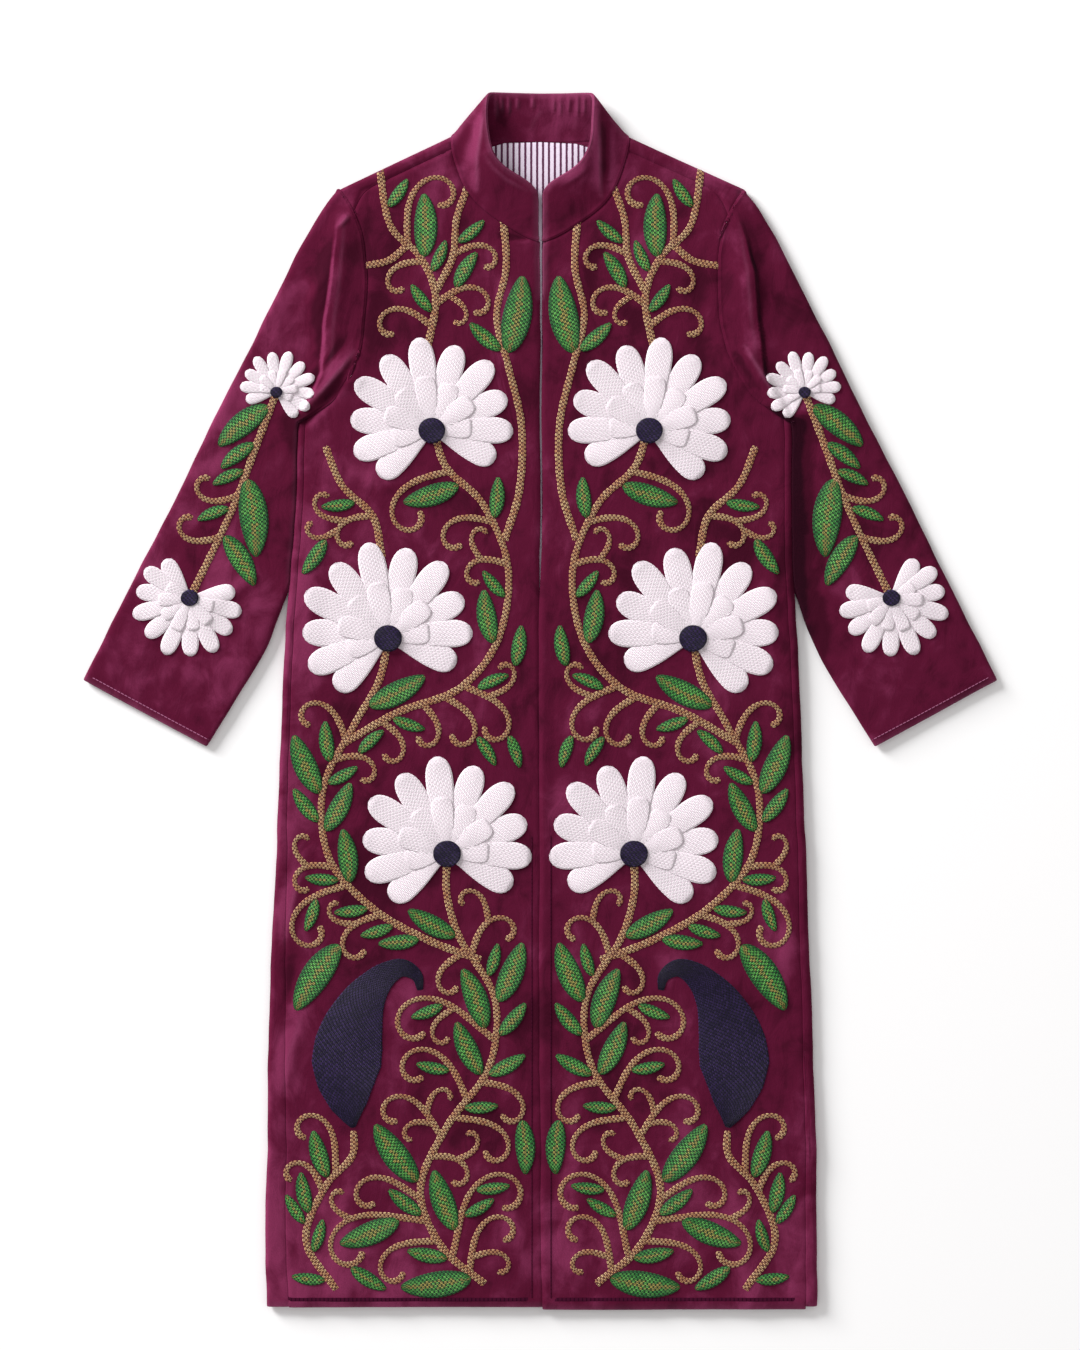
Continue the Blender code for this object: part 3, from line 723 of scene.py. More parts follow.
# %% [markdown]
# Above the waist the two fronts leave a thin line of lining between them. Further down the right front's edge
# lies a little over the left one's, so we bring it across and lift it. With that, all the velvet can be laid.

# %% Cut and lay the velvet
SLIT_OPENS, SLIT_CLOSES, LAP = 0.9, 1.6, 1.3
CLOSED_RISE, LAP_RISE = 0.3, 1.0
FRONT_EDGE, CLOSING, LAPPING = (4.0, 16.0), (-150.0, -110.0), (-140.0, -60.0)


def lap_over(points):
    """Brings the right front's edge over the left one's, below the waist, and leaves it open above."""
    x, y, z = points.T
    beside = 1.0 - ease(x, *FRONT_EDGE)
    closed, lapped = ease(-y, *CLOSING), ease(-y, *LAPPING)
    shift = -SLIT_OPENS + SLIT_CLOSES * closed + LAP * lapped
    rise = (CLOSED_RISE * closed + LAP_RISE * lapped) * beside * (z > 4.0)
    return np.stack([x - shift * beside, y, z + rise], axis=1)


PANELS = {
    "back": {},
    "front_left": {},
    "front_right": {"settle": lap_over},
    "sleeve_left": {"over": 1.6, "tuck": 0.2},
    "sleeve_right": {"over": 1.6, "tuck": 1.0},
    "collar": {"over": 1.0},
}
copies = {name: subdivided_copy(name) for name in PANELS}
cloth = {name: cloth_panel(name, copies, velvet, "velvet", **rules) for name, rules in PANELS.items()}
print(len(cloth), "panels of velvet are laid")

# %% [markdown]
# The lining lies inside the back and shows in the neck. Its top edge has to reach the collar's seam, so it is
# drawn up there and laid on the velvet, whose height a ray finds: a straight line, sent down from above until
# it meets cloth.

# %% Lay the lining
DOWN = Vector((0, 0, -1))
LINING_LEVEL, LINING_CLEARANCE, LINING_DRAWN_UP = 3.2, 0.35, 6.2
NECK_ACROSS, NECK_DRAWN, NECK_LAID = (62.0, 70.0), (530.0, 570.0), (540.0, 570.0)


def surface_of(*names):
    """One or more panels as a target for rays."""
    corners, faces = [], []
    for name in names:
        data = cloth[name].data
        faces.extend(tuple(k + len(corners) for k in face.vertices) for face in data.polygons)
        corners.extend(tuple(spot) for spot in read_points(data))
    return BVHTree.FromPolygons(corners, faces)


def reach_the_collar(points):
    """Draws the lining's top edge up to the collar's seam."""
    x, y, z = points.T
    inner = 1.0 - ease(np.abs(x), *NECK_ACROSS)
    y = y + LINING_DRAWN_UP * inner * ease(y, *NECK_DRAWN)
    back = surface_of("back")
    for k in np.flatnonzero((y > NECK_LAID[0]) & (inner > 0.0)):
        spot = back.ray_cast(Vector((x[k], y[k], 40.0)) * MM, DOWN)[0]
        if spot is not None:
            rise = max(0.0, spot.z / MM + LINING_CLEARANCE - LINING_LEVEL)
            z[k] += inner[k] * ease(y[k], *NECK_LAID) * rise
    return np.stack([x, y, z], axis=1)


lining_copy = {"back_lining": subdivided_copy("back_lining")}
lining = cloth_panel("back_lining", lining_copy, lining_stripe, "lining", settle=reach_the_collar)

# %% [markdown]
# ## Drawing the embroidery
#
# The coat's fronts and sleeves are worked in chain stitch: tan vines that end in curls, green leaves with a
# tan vein, large white blossoms and a navy teardrop on each side of the skirt. The design is a general one of
# blossoms and scrolling vines, drawn here for the right half and turned over for the left. A motif is drawn
# flat, in millimetres. Its lines are given by a few corners, and a smooth curve is run through them.

# %% Smooth lines
STEP = 2.6
PARTS = 16  # how many places each stretch of a curve is worked out at


def smooth_line(corners, step=STEP):
    """A rounded line through the corners, with a point every step."""
    rows = np.array(corners, float)
    ends = np.vstack([2 * rows[0] - rows[1], rows, 2 * rows[-1] - rows[-2]])
    fine = []
    for before, start, end, after in zip(ends, ends[1:], ends[2:], ends[3:]):
        for t in np.linspace(0.0, 1.0, PARTS, endpoint=False):
            fine.append(
                start
                + 0.5 * t * (end - before)
                + t * t * (before - 2.5 * start + 2 * end - 0.5 * after)
                + 0.5 * t**3 * (after - before + 3 * (start - end))
            )
    fine = np.vstack([fine, rows[-1]])
    run = np.concatenate([[0.0], np.cumsum(np.linalg.norm(np.diff(fine, axis=0), axis=1))])
    at = np.linspace(0.0, run[-1], max(3, int(run[-1] / step)))
    return np.stack([np.interp(at, run, fine[:, 0]), np.interp(at, run, fine[:, 1])], axis=1)


print("a line has a point every", STEP, "mm")

# %% [markdown]
# A motif keeps a note of the discs of cloth that it covers, so the next one can look for free ground, and it
# has to stay inside the outline of its panel's field.


# %% Covered ground
class Ground:
    """The discs of cloth that the motifs already cover."""

    def __init__(self):
        self.discs = np.zeros((0, 3))

    def cover(self, points, radius):
        radius = np.broadcast_to(radius, len(points))
        self.discs = np.vstack([self.discs, np.column_stack([points, radius])])

    def is_free(self, points, radius):
        radius = np.broadcast_to(radius, len(points))
        centres, reach = self.discs[:, :2], self.discs[:, 2:] + radius.max()
        low, high = points.min(axis=0), points.max(axis=0)
        discs = self.discs[np.all((centres + reach > low) & (centres - reach < high), axis=1)]
        gap = np.hypot(points[:, None, 0] - discs[:, 0], points[:, None, 1] - discs[:, 1])
        return bool(np.all(gap > discs[:, 2] + radius[:, None]))


print("the ground starts with", len(Ground().discs), "discs covered")

# %% The fields that may be embroidered
FRONT_FIELD = (
    (11, -624), (274, -624), (274, -450), (272, -324), (268, -198), (260, 54), (252, 232), (246, 290),
    (226, 302), (206, 318), (192, 340), (186, 365), (180, 400), (178, 440), (184, 480), (198, 524),
    (110, 572), (94, 562), (84, 542), (72, 524), (54, 508), (36, 496), (11, 486),
)
SLEEVE_FIELD = (
    (470, 26), (352, -38), (296, 102), (292, 200), (284, 286), (250, 322), (214, 352), (202, 400), (198, 440),
    (202, 480), (226, 508), (296, 400), (372, 220),
)


def lies_on(field, points, margin):
    """Whether all points lie inside the outline of a field and keep the margin to it."""
    corners = np.array(field, float)
    run = np.roll(corners, -1, axis=0) - corners
    offset = points[:, None] - corners
    share = np.clip((offset * run).sum(2) / (run * run).sum(1), 0.0, 1.0)
    gap = np.linalg.norm(offset - share[..., None] * run, axis=2).min(axis=1)
    above = corners[:, 1] > points[:, None, 1]
    crosses = above != np.roll(above, -1, axis=1)
    level = np.where(run[:, 1] == 0, 1e-9, run[:, 1])
    left = points[:, None, 0] < corners[:, 0] + run[:, 0] * (points[:, None, 1] - corners[:, 1]) / level
    inside = (crosses & left).sum(axis=1) % 2 == 1
    return bool(np.all(inside & (gap >= margin)))


print("the fields have", len(FRONT_FIELD), "and", len(SLEEVE_FIELD), "corners")

# %% [markdown]
# A stem is a walk: it sets off in some direction and turns a little with each step, more and more towards its
# tip, which rolls it into the curl that every tendril of the vine ends in.

# %% Stems
STEM_WIDTH = 8.2
STEM_GROUND = 0.8
CURL_POWER = 2.5


class Drawing:
    """All motifs of one panel: each is a midline and its half width at every point, in mm."""

    def __init__(self, field):
        self.field, self.ground = field, Ground()
        self.stems, self.leaves, self.petals, self.teardrops, self.hearts = [], [], [], [], []


def curling(start, heading, length, bend, curl, step=STEP):
    """A path from start. In degrees: where it sets off, how far it bends evenly and how far it curls."""
    share = np.linspace(0.0, 1.0, max(8, round(length / step)) + 1)
    angle = np.radians(heading + bend * share + curl * share**CURL_POWER)[:-1]
    walk = np.stack([np.cos(angle), np.sin(angle)], axis=1) * length / len(angle)
    return np.vstack([start, start + np.cumsum(walk, axis=0)])


def add_stem(drawing, path, width=STEM_WIDTH, tip=0.7):
    """A stem that thins a little, then swells into the knob at the end of its curl."""
    share = np.linspace(0.0, 1.0, len(path))
    half = width / 2 * (1.0 - (1.0 - tip) * np.sin(np.pi * share**1.6) ** 2)
    half *= 1.0 + 0.06 * np.sin(share * len(path) * 0.9 + len(drawing.stems))
    half[-2:] *= (0.9, 0.55)
    drawing.stems.append((path, half))
    drawing.ground.cover(path[::2], half[::2] + STEM_GROUND)


print("stems are", STEM_WIDTH, "mm wide")

# %% [markdown]
# A leaf is full and blunt, and bows a little. It may overlap its own stem, so only its outer part has to find
# free ground.

# %% Leaves
LEAF_BREADTH = 0.37
LEAF_MARGIN, LEAF_GROUND = 4.0, 1.0


def try_leaf(drawing, base, heading, length, bow):
    """Adds a leaf if its outer part finds free ground."""
    path = curling(base, heading, length, bow, 0.0, step=length / 18)
    share = np.linspace(0.0, 1.0, len(path))
    half = length * LEAF_BREADTH / 2 * np.sin(np.pi * share**0.9) ** 0.58
    half[0], half[-1] = 1.0, 1.4
    outer = len(path) * 3 // 8
    on_cloth = lies_on(drawing.field, path[outer:], LEAF_MARGIN)
    if not on_cloth or not drawing.ground.is_free(path[outer::2], half[outer::2] * 0.9 + LEAF_GROUND):
        return False
    drawing.leaves.append((path, half))
    drawing.ground.cover(path[::2], half[::2] * 0.95)
    return True


print("a leaf is", LEAF_BREADTH, "times as broad as it is long")

# %% [markdown]
# A blossom is a fan of petals in two tiers. Each petal starts narrow, is widest near its tip and ends round,
# and the outer ones are shorter.

# %% Blossoms
# Each tier has its count of petals, its spread in degrees, a petal's reach and half its breadth,
# both as shares of the radius.
BLOSSOM_TIERS = ((11, 236, 1.0, 0.15), (7, 178, 0.6, 0.13))
PETAL_PLACES = (0.0, 0.3, 0.6, 0.85, 1.0)
PETAL_BOW = 0.1
PETAL_GROUND = 3.0
HEART = 0.15


def petal_half_widths(share, widest):
    """Half the width of a petal, at places from 0 at the heart to 1 at the tip."""
    half = widest * (0.25 + 0.75 * np.sin(np.pi / 2 * np.clip(share / 0.72, 0, 1)) ** 1.3)
    return half * np.sqrt(np.clip(1.0 - np.clip((share - 0.74) / 0.26, 0, 1) ** 2.4, 0.02, 1.0))


def blossom(drawing, x, y, heading, radius):
    """A fan-shaped flower: two tiers of long white petals that open towards heading, with a navy heart."""
    centre = np.array([x, y])
    for tier, (count, spread, reach, breadth) in enumerate(BLOSSOM_TIERS):
        for k in range(count):
            place = 2 * k / (count - 1) - 1
            turn = math.radians(heading + place * spread / 2)
            aim = np.array([math.cos(turn), math.sin(turn)])
            side = np.array([-aim[1], aim[0]])
            long = radius * reach * (1.0 - 0.22 * place**2 + 0.05 * (k % 2))
            corners = [
                centre + aim * long * t + side * PETAL_BOW * place * long * t * t
                for t in PETAL_PLACES
            ]
            path = smooth_line(corners, max(2.4, long / 26))
            half = petal_half_widths(np.linspace(0.0, 1.0, len(path)), radius * breadth)
            drawing.petals.append((path, half, tier, k % 2))
            drawing.ground.cover(path[::3], half[::3] + PETAL_GROUND)
    drawing.hearts.append((centre, radius * HEART))
    drawing.ground.cover(centre[None, :], radius * HEART + PETAL_GROUND)


print("a blossom has", sum(tier[0] for tier in BLOSSOM_TIERS), "petals")

# %% [markdown]
# A teardrop is one line with its own half width at each of its points.

# %% Teardrops
TEARDROP_GROUND = 4.0


def teardrop(drawing, points, widths):
    path = smooth_line(points, 3.0)
    half = np.interp(np.linspace(0, 1, len(path)), np.linspace(0, 1, len(widths)), widths)
    drawing.teardrops.append((path, half))
    drawing.ground.cover(path[::3], half[::3] + TEARDROP_GROUND)


print("a teardrop keeps", TEARDROP_GROUND, "mm of ground free around it")

# %% [markdown]
# The vine is laid out as listed corners, and what grows on it finds its own place: at every few stitches a
# branch is tried on one side and then on the other, from the longest kind to the shortest, and is kept where
# the ground is free.

# %% Branches
# Each kind has its length in mm, and its bend and curl in degrees.
BRANCHES = ((172, -45, 330), (138, 10, 300), (112, -20, 300), (92, 20, 250), (72, 20, 235))
TWIGS = ((64, 10, 245), (50, 10, 225))
BRANCH_OPENINGS = (34.0, 48.0, 62.0)
BRANCH_WIDTH, TWIG_WIDTH = STEM_WIDTH - 0.8, STEM_WIDTH - 1.4
BRANCH_MARGIN, BRANCH_GROUND = 7.0, 1.6


def heading_at(path, k):
    run = path[min(k + 1, len(path) - 1)] - path[max(k - 1, 0)]
    return math.degrees(math.atan2(run[1], run[0]))


def try_branch(drawing, path, k, side, kinds, width):
    """The first kind of branch that finds free ground at point k of a path, or None."""
    for length, bend, curl in kinds:
        for opening in BRANCH_OPENINGS:
            heading = heading_at(path, k) + side * opening
            branch = curling(path[k], heading, length, side * bend, side * curl)
            clear = branch[5:]
            is_free = drawing.ground.is_free(clear[::2], width / 2 + BRANCH_GROUND)
            if is_free and lies_on(drawing.field, clear, BRANCH_MARGIN):
                add_stem(drawing, branch, width)
                return branch
    return None


print(len(BRANCHES), "kinds of branch and", len(TWIGS), "kinds of twig")

# %% [markdown]
# Leaves go on alternate sides of every stem. At each place the largest kind that finds free ground is kept,
# so the leaves fill the gaps between the stems, whatever their shape.

# %% Leaves that find their place
# Each kind has its length in mm and how far it opens from the stem, in degrees.
LARGE_LEAVES = ((84.0, 34.0), (76.0, 52.0), (68.0, 38.0), (62.0, 64.0))
SMALL_LEAVES = ((58.0, 44.0), (52.0, 62.0), (44.0, 40.0), (36.0, 54.0))
LEAF_BOW, LEAF_START = 16.0, 4.0


def leaf_at(drawing, path, k, side, length, opening):
    heading = heading_at(path, k) + side * opening
    aim = np.array([math.cos(math.radians(heading)), math.sin(math.radians(heading))])
    return try_leaf(drawing, path[k] + aim * LEAF_START, heading, length, -side * LEAF_BOW)


def grow_leaves(drawing, paths, kinds, every):
    """Leaves on alternate sides of each path, the largest kind that fits at every so many points."""
    for path in paths:
        side = 1
        for k in range(5, len(path) - 1, every):
            for turn in (side, -side):
                if any(leaf_at(drawing, path, k, turn, *kind) for kind in kinds):
                    side = -turn
                    break


print(len(LARGE_LEAVES) + len(SMALL_LEAVES), "kinds of leaf")

# %% [markdown]
# What grows first takes the ground, so the order is that of size: the vines, their branches, large leaves on
# both, then twigs on the branches, and small leaves in what is left.

# %% Grow all of it
LARGE_LEAF_EVERY, SMALL_LEAF_EVERY = 5, 4
BRANCH_EVERY, TWIG_EVERY = 9, 5


def grow_branches(drawing, vines):
    """Branches on alternate sides of each vine."""
    branches = []
    for vine in vines:
        side = 1
        for k in range(8, len(vine) - 3, BRANCH_EVERY):
            for turn in (side, -side):
                branch = try_branch(drawing, vine, k, turn, BRANCHES, BRANCH_WIDTH)
                if branch is not None:
                    branches.append(branch)
                    side = -turn
                    break
    return branches


def grow_twigs(drawing, branches):
    """Thinner stems on either side of each branch, as far as two thirds of its length."""
    twigs = []
    for branch in branches:
        for k in range(6, len(branch) * 2 // 3, TWIG_EVERY):
            for side in (1, -1):
                twig = try_branch(drawing, branch, k, side, TWIGS, TWIG_WIDTH)
                if twig is not None:
                    twigs.append(twig)
                    break
    return twigs


def grow(drawing, vines):
    """Vines, branches, large leaves, twigs and small leaves, in that order."""
    for vine in vines:
        add_stem(drawing, vine, tip=0.9)
    stems = vines + grow_branches(drawing, vines)
    grow_leaves(drawing, stems, LARGE_LEAVES, LARGE_LEAF_EVERY)
    stems += grow_twigs(drawing, stems[len(vines) :])
    grow_leaves(drawing, stems, SMALL_LEAVES, SMALL_LEAF_EVERY)
    print(len(vines), "vines,", len(stems) - len(vines), "branches,", len(drawing.leaves), "leaves")


print("ready to grow")

# %% [markdown]
# A front has three large blossoms above one another, the teardrop low on the skirt, and vines that join them.

# %% Draw the fronts
# Each blossom has its x and y in mm, its heading in degrees and its radius in mm.
FRONT_BLOSSOMS = ((114.0, 284.0, 82.0, 94.0), (160.0, 66.0, 78.0, 98.0), (98.0, -160.0, 84.0, 98.0))
TEARDROP_LINE = (
    (196, -448), (199, -436), (202, -418), (204, -394), (202, -366), (196, -340), (184, -312), (166, -290),
    (146, -280), (130, -288), (126, -304),
)
TEARDROP_WIDTHS = (2.0, 19.0, 30.0, 37.0, 36.0, 31.0, 24.0, 17.0, 11.5, 7.5, 3.0)
FRONT_VINES = (
    (
        (58, -612), (104, -572), (126, -512), (98, -446), (54, -384), (48, -312), (84, -250), (98, -204),
        (98, -164),
    ),
    ((62, -272), (120, -250), (178, -216), (222, -164), (228, -92), (196, -26), (170, 20), (160, 62)),
    ((206, -44), (150, -12), (84, 14), (44, 66), (34, 140), (60, 206), (98, 244), (112, 282)),
    ((214, -618), (246, -566), (226, -510), (198, -478), (196, -450)),
    ((118, 372), (110, 424), (126, 466), (158, 500), (170, 568)),
    ((111, 428), (92, 466), (88, 506), (74, 546)),
    ((166, 150), (176, 194), (208, 226), (226, 268)),
    ((38, 168), (22, 222), (20, 290), (34, 352), (46, 404), (36, 456), (40, 516)),
    ((140, 478), (160, 462), (190, 456)),
)
fronts = Drawing(FRONT_FIELD)
for row in FRONT_BLOSSOMS:
    blossom(fronts, *row)
teardrop(fronts, TEARDROP_LINE, TEARDROP_WIDTHS)
grow(fronts, [smooth_line(corners) for corners in FRONT_VINES])

# %% [markdown]
# A sleeve carries two blossoms on one short stem: a small one below the shoulder, and one near the cuff that
# takes up most of the sleeve's width. Branches and leaves grow from the stem where the cloth is free.

# %% Draw the sleeves
SLEEVE_BLOSSOMS = ((277.0, 324.0, 108.0, 43.0), (368.0, 108.0, -66.0, 62.0))
SLEEVE_VINE = ((277, 324), (296, 274), (324, 200), (368, 108))
sleeves = Drawing(SLEEVE_FIELD)
for row in SLEEVE_BLOSSOMS:
    blossom(sleeves, *row)
grow(sleeves, [smooth_line(SLEEVE_VINE)])

# %% [markdown]
# ## Sewing it on
#
# Chain stitch is sewn in rows that lie side by side, so a motif is a strip of cloth-hugging rows: a grid
# whose columns go up and down like corduroy and whose sides follow the motif. Every point is dropped on to
# the cloth below it. A point that misses the cloth slides in towards the motif's middle until it meets the
# cloth's edge, and where the middle misses too, the motif ends.

# %% Find the cloth under a point
REACH_AROUND = ((0, 0), (0.8, 0), (-0.8, 0), (0, 0.8), (0, -0.8))
RAY_START = 0.1
UPPER_CLOTH = 3.4 * MM
HALVINGS = 5


def level_under(surface, x, y):
    """The height of the cloth at x, y in metres, or None where most rays around that place miss it."""
    starts = [Vector((x + a * MM, y + b * MM, RAY_START)) for a, b in REACH_AROUND]
    hits = [surface.ray_cast(start, DOWN)[0] for start in starts]
    levels = [hit.z for hit in hits if hit is not None and hit.z > UPPER_CLOTH]
    return max(levels) if len(levels) > 2 else None


def slide_in(surface, middle, outward):
    """How far out from the middle, 0 to 1, there is still cloth, and its height there, or 0 and None."""
    near, far = 0.0, 1.0
    level = level_under(surface, *middle)
    if level is None:
        return 0.0, None
    for _ in range(HALVINGS):
        share = (near + far) / 2
        found = level_under(surface, *(middle + outward * share))
        if found is None:
            far = share
        else:
            near, level = share, found
    return near, level


print("a point slides in to within 1 part in", 2**HALVINGS, "of its half width")

# %% [markdown]
# Each point also keeps where it is in the stitching: how many links along, which row, and how far across the
# motif. The outermost points are sunk into the velvet, every second column of the grid is the ridge of a row,
# and the whole strip is domed a little, as dense stitching is.

# %% A strip of stitches
LINK, ROW = 4.3, 2.8
SUNK_EDGE = -0.35
RIDGE, RIDGE_SHARE = 0.36, 0.5
FULL_DOME = 5.0
SHIFT_LINKS, SHIFT_ROWS = 7.0, 40.0


def strip(bm, marks, surface, path, half, lift, dome, shift=0, rows=None):
    """Adds rows of stitches to bm along a path in mm, half as wide at each point as half says. Strips with
    another shift have other links, so that neighbours don't look the same."""
    rows = rows or max(2, round(2 * max(half) / ROW))
    run = np.gradient(path, axis=0)
    run /= np.linalg.norm(run, axis=1)[:, None] + 1e-9
    side = np.stack([-run[:, 1], run[:, 0]], axis=1)
    length = np.concatenate([[0.0], np.cumsum(np.linalg.norm(np.diff(path, axis=0), axis=1))])
    made = bmesh.ops.create_grid(bm, x_segments=2 * rows, y_segments=len(path) - 1, size=1.0)["verts"]
    across = np.linspace(-1.0, 1.0, 2 * rows + 1)
    lost = []
    for k, vert in enumerate(made):
        i, j = divmod(k, 2 * rows + 1)
        middle, outward = path[i] * MM, side[i] * half[i] * across[j] * MM
        share, level = 1.0, level_under(surface, *(middle + outward))
        if level is None:
            share, level = slide_in(surface, middle, outward)
        if level is None:
            lost.append(vert)
            continue
        x, y = middle + outward * share
        ridge = min(RIDGE, RIDGE_SHARE * half[i] / rows) if j % 2 else 0.0
        height = lift + ridge + dome * (1.0 - across[j] ** 2) * min(1.0, half[i] / FULL_DOME)
        if j in (0, 2 * rows) or i in (0, len(path) - 1):
            height = SUNK_EDGE
        vert.co = (x, y, level + height * MM)
        vert[marks] = (length[i] / LINK + shift * SHIFT_LINKS, j / 2 + shift * SHIFT_ROWS, across[j])
    bmesh.ops.delete(bm, geom=lost, context="VERTS")


print("a link is", LINK, "mm long and a row", ROW, "mm wide")

# %% [markdown]
# All the strips of one colour on one panel make one piece. Its grids are cleaned of cells that have shrunk to
# nothing, and every face is turned up, away from the cloth.


# %% Sew strips into one piece
def sew(name, surface, thread, strips, flip=1, rows=None):
    """One piece from strips, each with its path, half widths, lift, dome and shift. The drawing is of the
    coat's right half: flip is 1 there, and -1 turns it over for the left."""
    bm = bmesh.new()
    marks = bm.verts.layers.float_vector.new("stitch")
    for path, half, lift, dome, shift in strips:
        strip(bm, marks, surface, path * (flip, 1), half, lift, dome, shift, rows)
    bmesh.ops.dissolve_degenerate(bm, edges=bm.edges[:], dist=0.02 * MM)
    for face in bm.faces:
        face.smooth = True
    bm.normal_update()
    bmesh.ops.reverse_faces(bm, faces=[face for face in bm.faces if face.normal.z < 0])
    mesh = bpy.data.meshes.new(name)
    bm.to_mesh(mesh)
    bm.free()
    piece = bpy.data.objects.new(name, mesh)
    bpy.context.scene.collection.objects.link(piece)
    mesh.materials.append(thread)
    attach(piece, "root")
    print(name, sum(len(face.vertices) - 2 for face in mesh.polygons), "triangles")
    return piece


print("ready to sew")

# %% [markdown]
# In a chain stitch every link is a loop whose two strands part and meet again, so a row is a small plait
# with an eye in each link, and each row is half a link behind its neighbour. The material works this out from
# the stitching: how far a point is along its link says how far the strands have parted, and how far it is
# from a strand says how high the thread is there. The low parts, the eye and the gaps between strands, are
# painted darker, as shade. Each link has its own luck, which tints it at random, and which makes a leaf's tan
# vein end unevenly, stitch by stitch.

# %% The links of a chain stitch
# In widths of a row: how far the strands part, how near they stay, and half the width of one. DIP is how
# far the thread sinks where two links meet.
PARTING, NEAREST, HALF_STRAND, DIP = 0.22, 0.07, 0.19, 0.9


def stitching_of(tree):
    """Where a point is in the stitching: X says how many links along, Y in which row, Z how far across."""
    marks = add(tree, "Attribute", attribute_name="stitch").outputs["Vector"]
    return add(tree, "SeparateXYZ", {"Vector": marks}).outputs


def chain_links(tree, stitch):
    """The height of the thread, 1 on top of a strand, and the luck of the link, 0 to 1."""
    row = calculate(tree, "FLOOR", stitch["Y"])
    half_link = calculate(tree, "FRACT", calculate(tree, "MULTIPLY", row, 0.5))
    place = calculate(tree, "ADD", stitch["X"], half_link)
    link = add(tree, "CombineXYZ", {"X": row, "Y": calculate(tree, "FLOOR", place)}).outputs["Vector"]
    luck = add(tree, "TexWhiteNoise", {"Vector": link}, noise_dimensions="2D").outputs["Value"]
    parted = calculate(tree, "SINE", calculate(tree, "MULTIPLY", calculate(tree, "FRACT", place), math.pi))
    strand = calculate(tree, "MULTIPLY_ADD", parted, PARTING, NEAREST)
    beside = calculate(tree, "SUBTRACT", calculate(tree, "FRACT", stitch["Y"]), 0.5)
    off = calculate(tree, "SUBTRACT", calculate(tree, "ABSOLUTE", beside), strand)
    off = calculate(tree, "DIVIDE", off, HALF_STRAND)
    dip = calculate(tree, "MULTIPLY", calculate(tree, "SUBTRACT", 1.0, parted), DIP)
    top = calculate(tree, "SUBTRACT", 1.0, dip)
    return calculate(tree, "SUBTRACT", top, calculate(tree, "MULTIPLY", off, off)), luck


print("links are worked out by the material")

# %% [markdown]
# The four threads differ only in their colours. The leaves have two more, a tan vein along the middle and a
# darker rim.


# %% Thread in four colours
def make_thread(name, light, dark, gap, vein=None, rim=None):
    """Thread that varies from light to dark, with gap painted as shade between its strands. Leaves have a
    vein and a rim.
    """
    material, tree, shader = new_material(name)
    stitch = stitching_of(tree)
    height, luck = chain_links(tree, stitch)
    where = add(tree, "TexCoord").outputs["Object"]
    drift = calculate(tree, "MULTIPLY", noise_of(tree, where, 55.0), 0.7)
    tone = calculate(tree, "MULTIPLY_ADD", luck, 0.5, drift)
    colour = mix_colours(tree, remap(tree, tone, 0.3, 0.9), dark, light)
    across = calculate(tree, "ABSOLUTE", stitch["Z"])
    if rim:
        colour = mix_colours(tree, remap(tree, across, 0.62, 0.95), colour, rim)
    if vein:
        uneven = calculate(tree, "MULTIPLY_ADD", luck, 0.5, calculate(tree, "SUBTRACT", across, 0.21))
        colour = mix_colours(tree, remap(tree, uneven, 0.36, 0.1), colour, vein)
    # the gap colour is painted shade where the thread lies low, between the strands and in each link's eye
    colour = mix_colours(tree, remap(tree, height, 0.88, 0.25), colour, gap)
    tree.links.new(colour, shader.inputs["Base Color"])
    shader.inputs["Roughness"].default_value = 0.6
    shader.inputs["Specular IOR Level"].default_value = 0.25
    strands = calculate(tree, "MAXIMUM", height, -0.3)
    fibres = calculate(tree, "MULTIPLY_ADD", noise_of(tree, where, 2400.0), 0.3, strands)
    bump = add(tree, "Bump", {"Height": fibres, "Strength": 0.8, "Distance": 0.0006})
    tree.links.new(bump.outputs["Normal"], shader.inputs["Normal"])
    return material


# Each gap colour is painted shade between the strands.
tan_thread = make_thread("tan_thread", srgb(255, 222, 162), srgb(236, 176, 120), srgb(78, 24, 30))
leaf_colours = {"light": srgb(138, 232, 112), "dark": srgb(66, 172, 78), "gap": srgb(12, 44, 22)}
green_thread = make_thread("green_thread", **leaf_colours, vein=srgb(216, 196, 106), rim=srgb(32, 108, 56))
white_thread = make_thread("white_thread", srgb(255, 255, 255), srgb(255, 252, 254), srgb(236, 220, 230))
navy_thread = make_thread("navy_thread", srgb(68, 46, 106), srgb(36, 20, 66), srgb(10, 4, 24))
print("four threads are spun")

# %% [markdown]
# Now the drawings are sewn on, each colour of each panel as one piece. Petals overlap like tiles: the tiers
# rise towards the heart, and every second petal of a tier lies a little higher than its neighbours.

# %% Strips for every motif
STEM_LIFT, STEM_DOME = 0.4, 0.25
LEAF_LIFT, LEAF_DOME = 0.6, 0.9
PETAL_DOME, ODD_PETAL_LIFT = 0.8, 0.35
TIER_LIFT = (0.8, 1.7)
HEART_LIFT, HEART_DOME = 3.4, 0.8


def stem_strips(drawing):
    return [(path, half, STEM_LIFT, STEM_DOME, k % 9) for k, (path, half) in enumerate(drawing.stems)]


def leaf_strips(drawing):
    return [(path, half, LEAF_LIFT, LEAF_DOME, k % 11) for k, (path, half) in enumerate(drawing.leaves)]


def petal_strips(drawing):
    return [
        (path, half, TIER_LIFT[tier] + ODD_PETAL_LIFT * odd, PETAL_DOME, k % 13)
        for k, (path, half, tier, odd) in enumerate(drawing.petals)
    ]


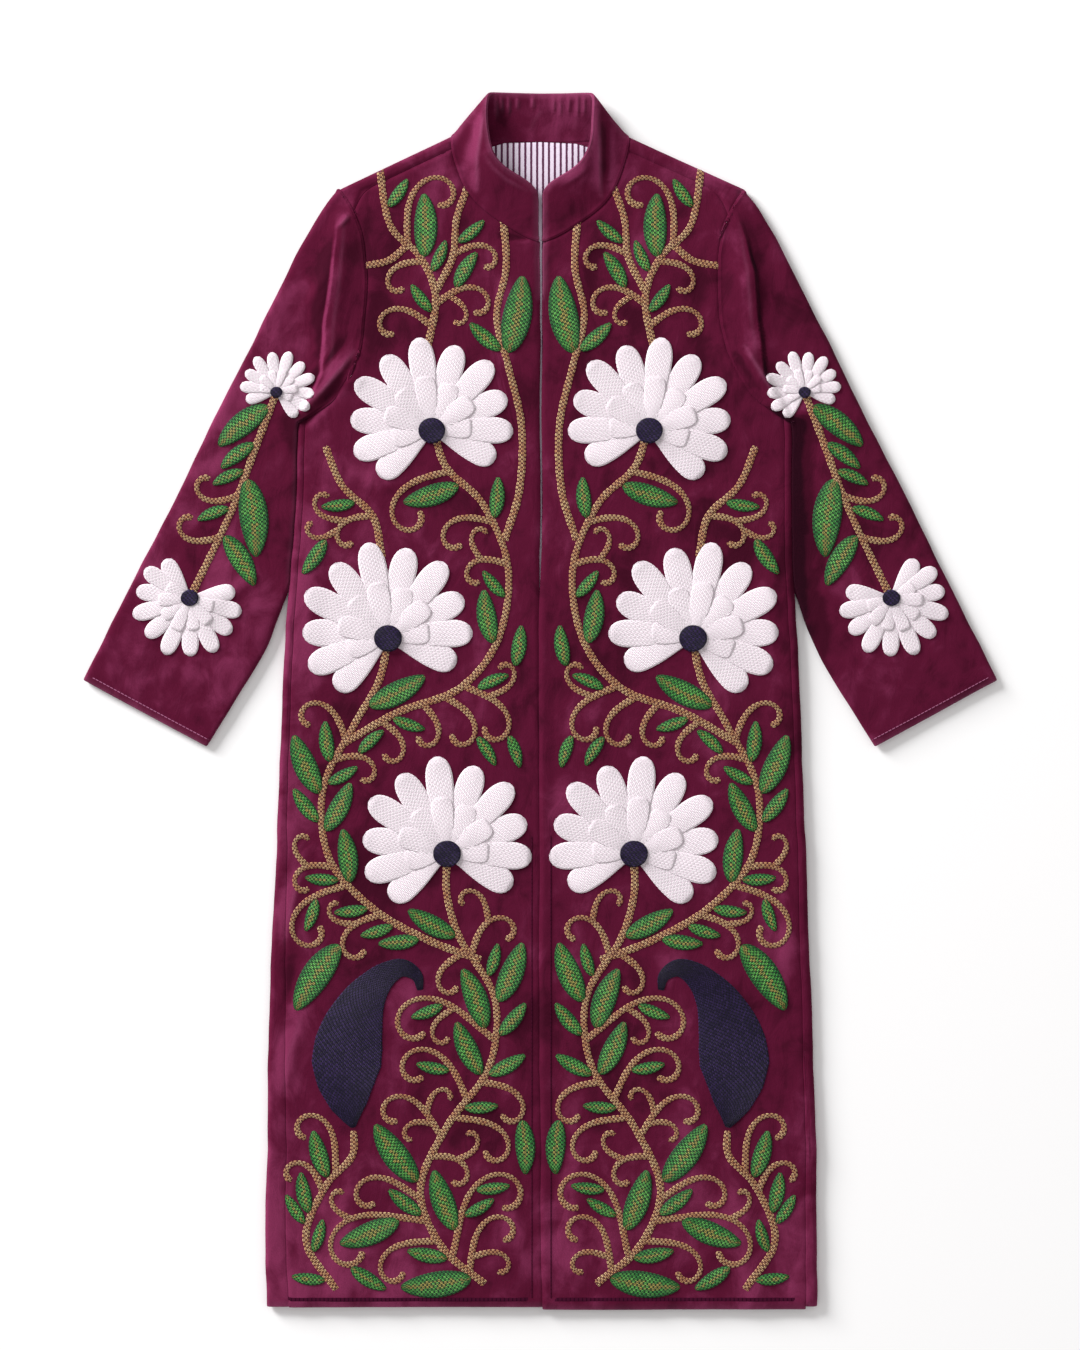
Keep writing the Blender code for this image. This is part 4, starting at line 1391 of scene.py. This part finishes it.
def navy_strips(drawing):
    """The teardrops, and the hearts, which are discs worked in rows."""
    strips = [(path, half, LEAF_LIFT, LEAF_DOME, 3) for path, half in drawing.teardrops]
    for k, (centre, radius) in enumerate(drawing.hearts):
        reach = -radius * np.cos(np.linspace(0.0, np.pi, 22))
        path = np.stack([centre[0] + reach, np.full(len(reach), centre[1])], axis=1)
        half = np.sqrt(np.maximum(radius**2 - reach**2, 0.1))
        strips.append((path, half, HEART_LIFT, HEART_DOME, 5 + k))
    return strips


print(len(navy_strips(fronts)), "navy strips on each front")

# %% Sew the motifs
SEWING = {
    "stems": (stem_strips, tan_thread),
    "leaves": (leaf_strips, green_thread),
    "petals": (petal_strips, white_thread),
    "navy": (navy_strips, navy_thread),
}
embroidery = {}
for side, flip in (("left", -1), ("right", 1)):
    for part, drawing in (("front", fronts), ("sleeve", sleeves)):
        panel_name = part + "_" + side
        surface = surface_of(panel_name, "back") if part == "front" else surface_of(panel_name)
        embroidery[panel_name] = [
            sew(f"{what}_{panel_name}", surface, thread, strips_of(drawing), flip)
            for what, (strips_of, thread) in SEWING.items()
        ]

# %% [markdown]
# ## Topstitching
#
# The fronts, the hem and the cuffs are turned in and held by one line of stitches, about 10 mm from the edge.
# The thread sinks into the pile, and the groove it would make in the velvet is painted on the strip as shade.
# At the hem and the fronts that painted shade is dark, and at the cuffs, which are rubbed, it is lighter and
# the stitches have worn pale.


# %% Thread that has sunk into the pile
def make_topstitch(name, painted_groove_shade, dashes):
    material, tree, shader = new_material(name)
    stitch = stitching_of(tree)
    across = calculate(tree, "ABSOLUTE", stitch["Z"])
    dash = remap(tree, calculate(tree, "PINGPONG", stitch["X"], 0.5), 0.08, 0.16)
    thread = calculate(tree, "MULTIPLY", dash, remap(tree, across, 0.62, 0.4))
    # the groove colour is painted shade of a groove that the velvet's mesh doesn't have
    tree.links.new(mix_colours(tree, thread, painted_groove_shade, dashes), shader.inputs["Base Color"])
    shader.inputs["Roughness"].default_value = 0.9
    shader.inputs["Specular IOR Level"].default_value = 0.05
    return material


# at the hem and the fronts the painted groove shade is dark; at the cuffs it is lighter and the stitches pale
sunk = make_topstitch("painted_groove_topstitch", srgb(40, 3, 22), srgb(64, 12, 38))
worn = make_topstitch("worn_topstitch", srgb(78, 18, 46), srgb(164, 98, 132))
print("topstitching is dark at the hem and pale at the cuffs")

# %% Topstitch the edges
FRONT_LINE, HEM_LINE, CUFF_LINE = 0.8, 3.2, 0.9  # half widths, in mm
LINE_LIFT = 0.12
SEWN_LINES = {
    "front_left": (
        sunk,
        (FRONT_LINE, ((-9, -140), (-9, -400), (-9, -628))),
        (HEM_LINE, ((-12, -628), (-140, -628), (-270, -628))),
    ),
    "front_right": (
        sunk,
        (FRONT_LINE, ((11, -140), (11, -400), (11, -628))),
        (HEM_LINE, ((14, -628), (140, -628), (268, -628))),
    ),
    "sleeve_left": (worn, (CUFF_LINE, ((-471, 25), (-410, -8), (-348, -41)))),
    "sleeve_right": (worn, (CUFF_LINE, ((471, 25), (410, -8), (348, -41)))),
}
for panel_name, (thread, *lines) in SEWN_LINES.items():
    strips = []
    for half_width, corners in lines:
        path = smooth_line(corners)
        strips.append((path, np.full(len(path), half_width), LINE_LIFT, 0.0, 0))
    piece = sew("topstitch_" + panel_name, surface_of(panel_name), thread, strips, rows=1)
    embroidery[panel_name].append(piece)
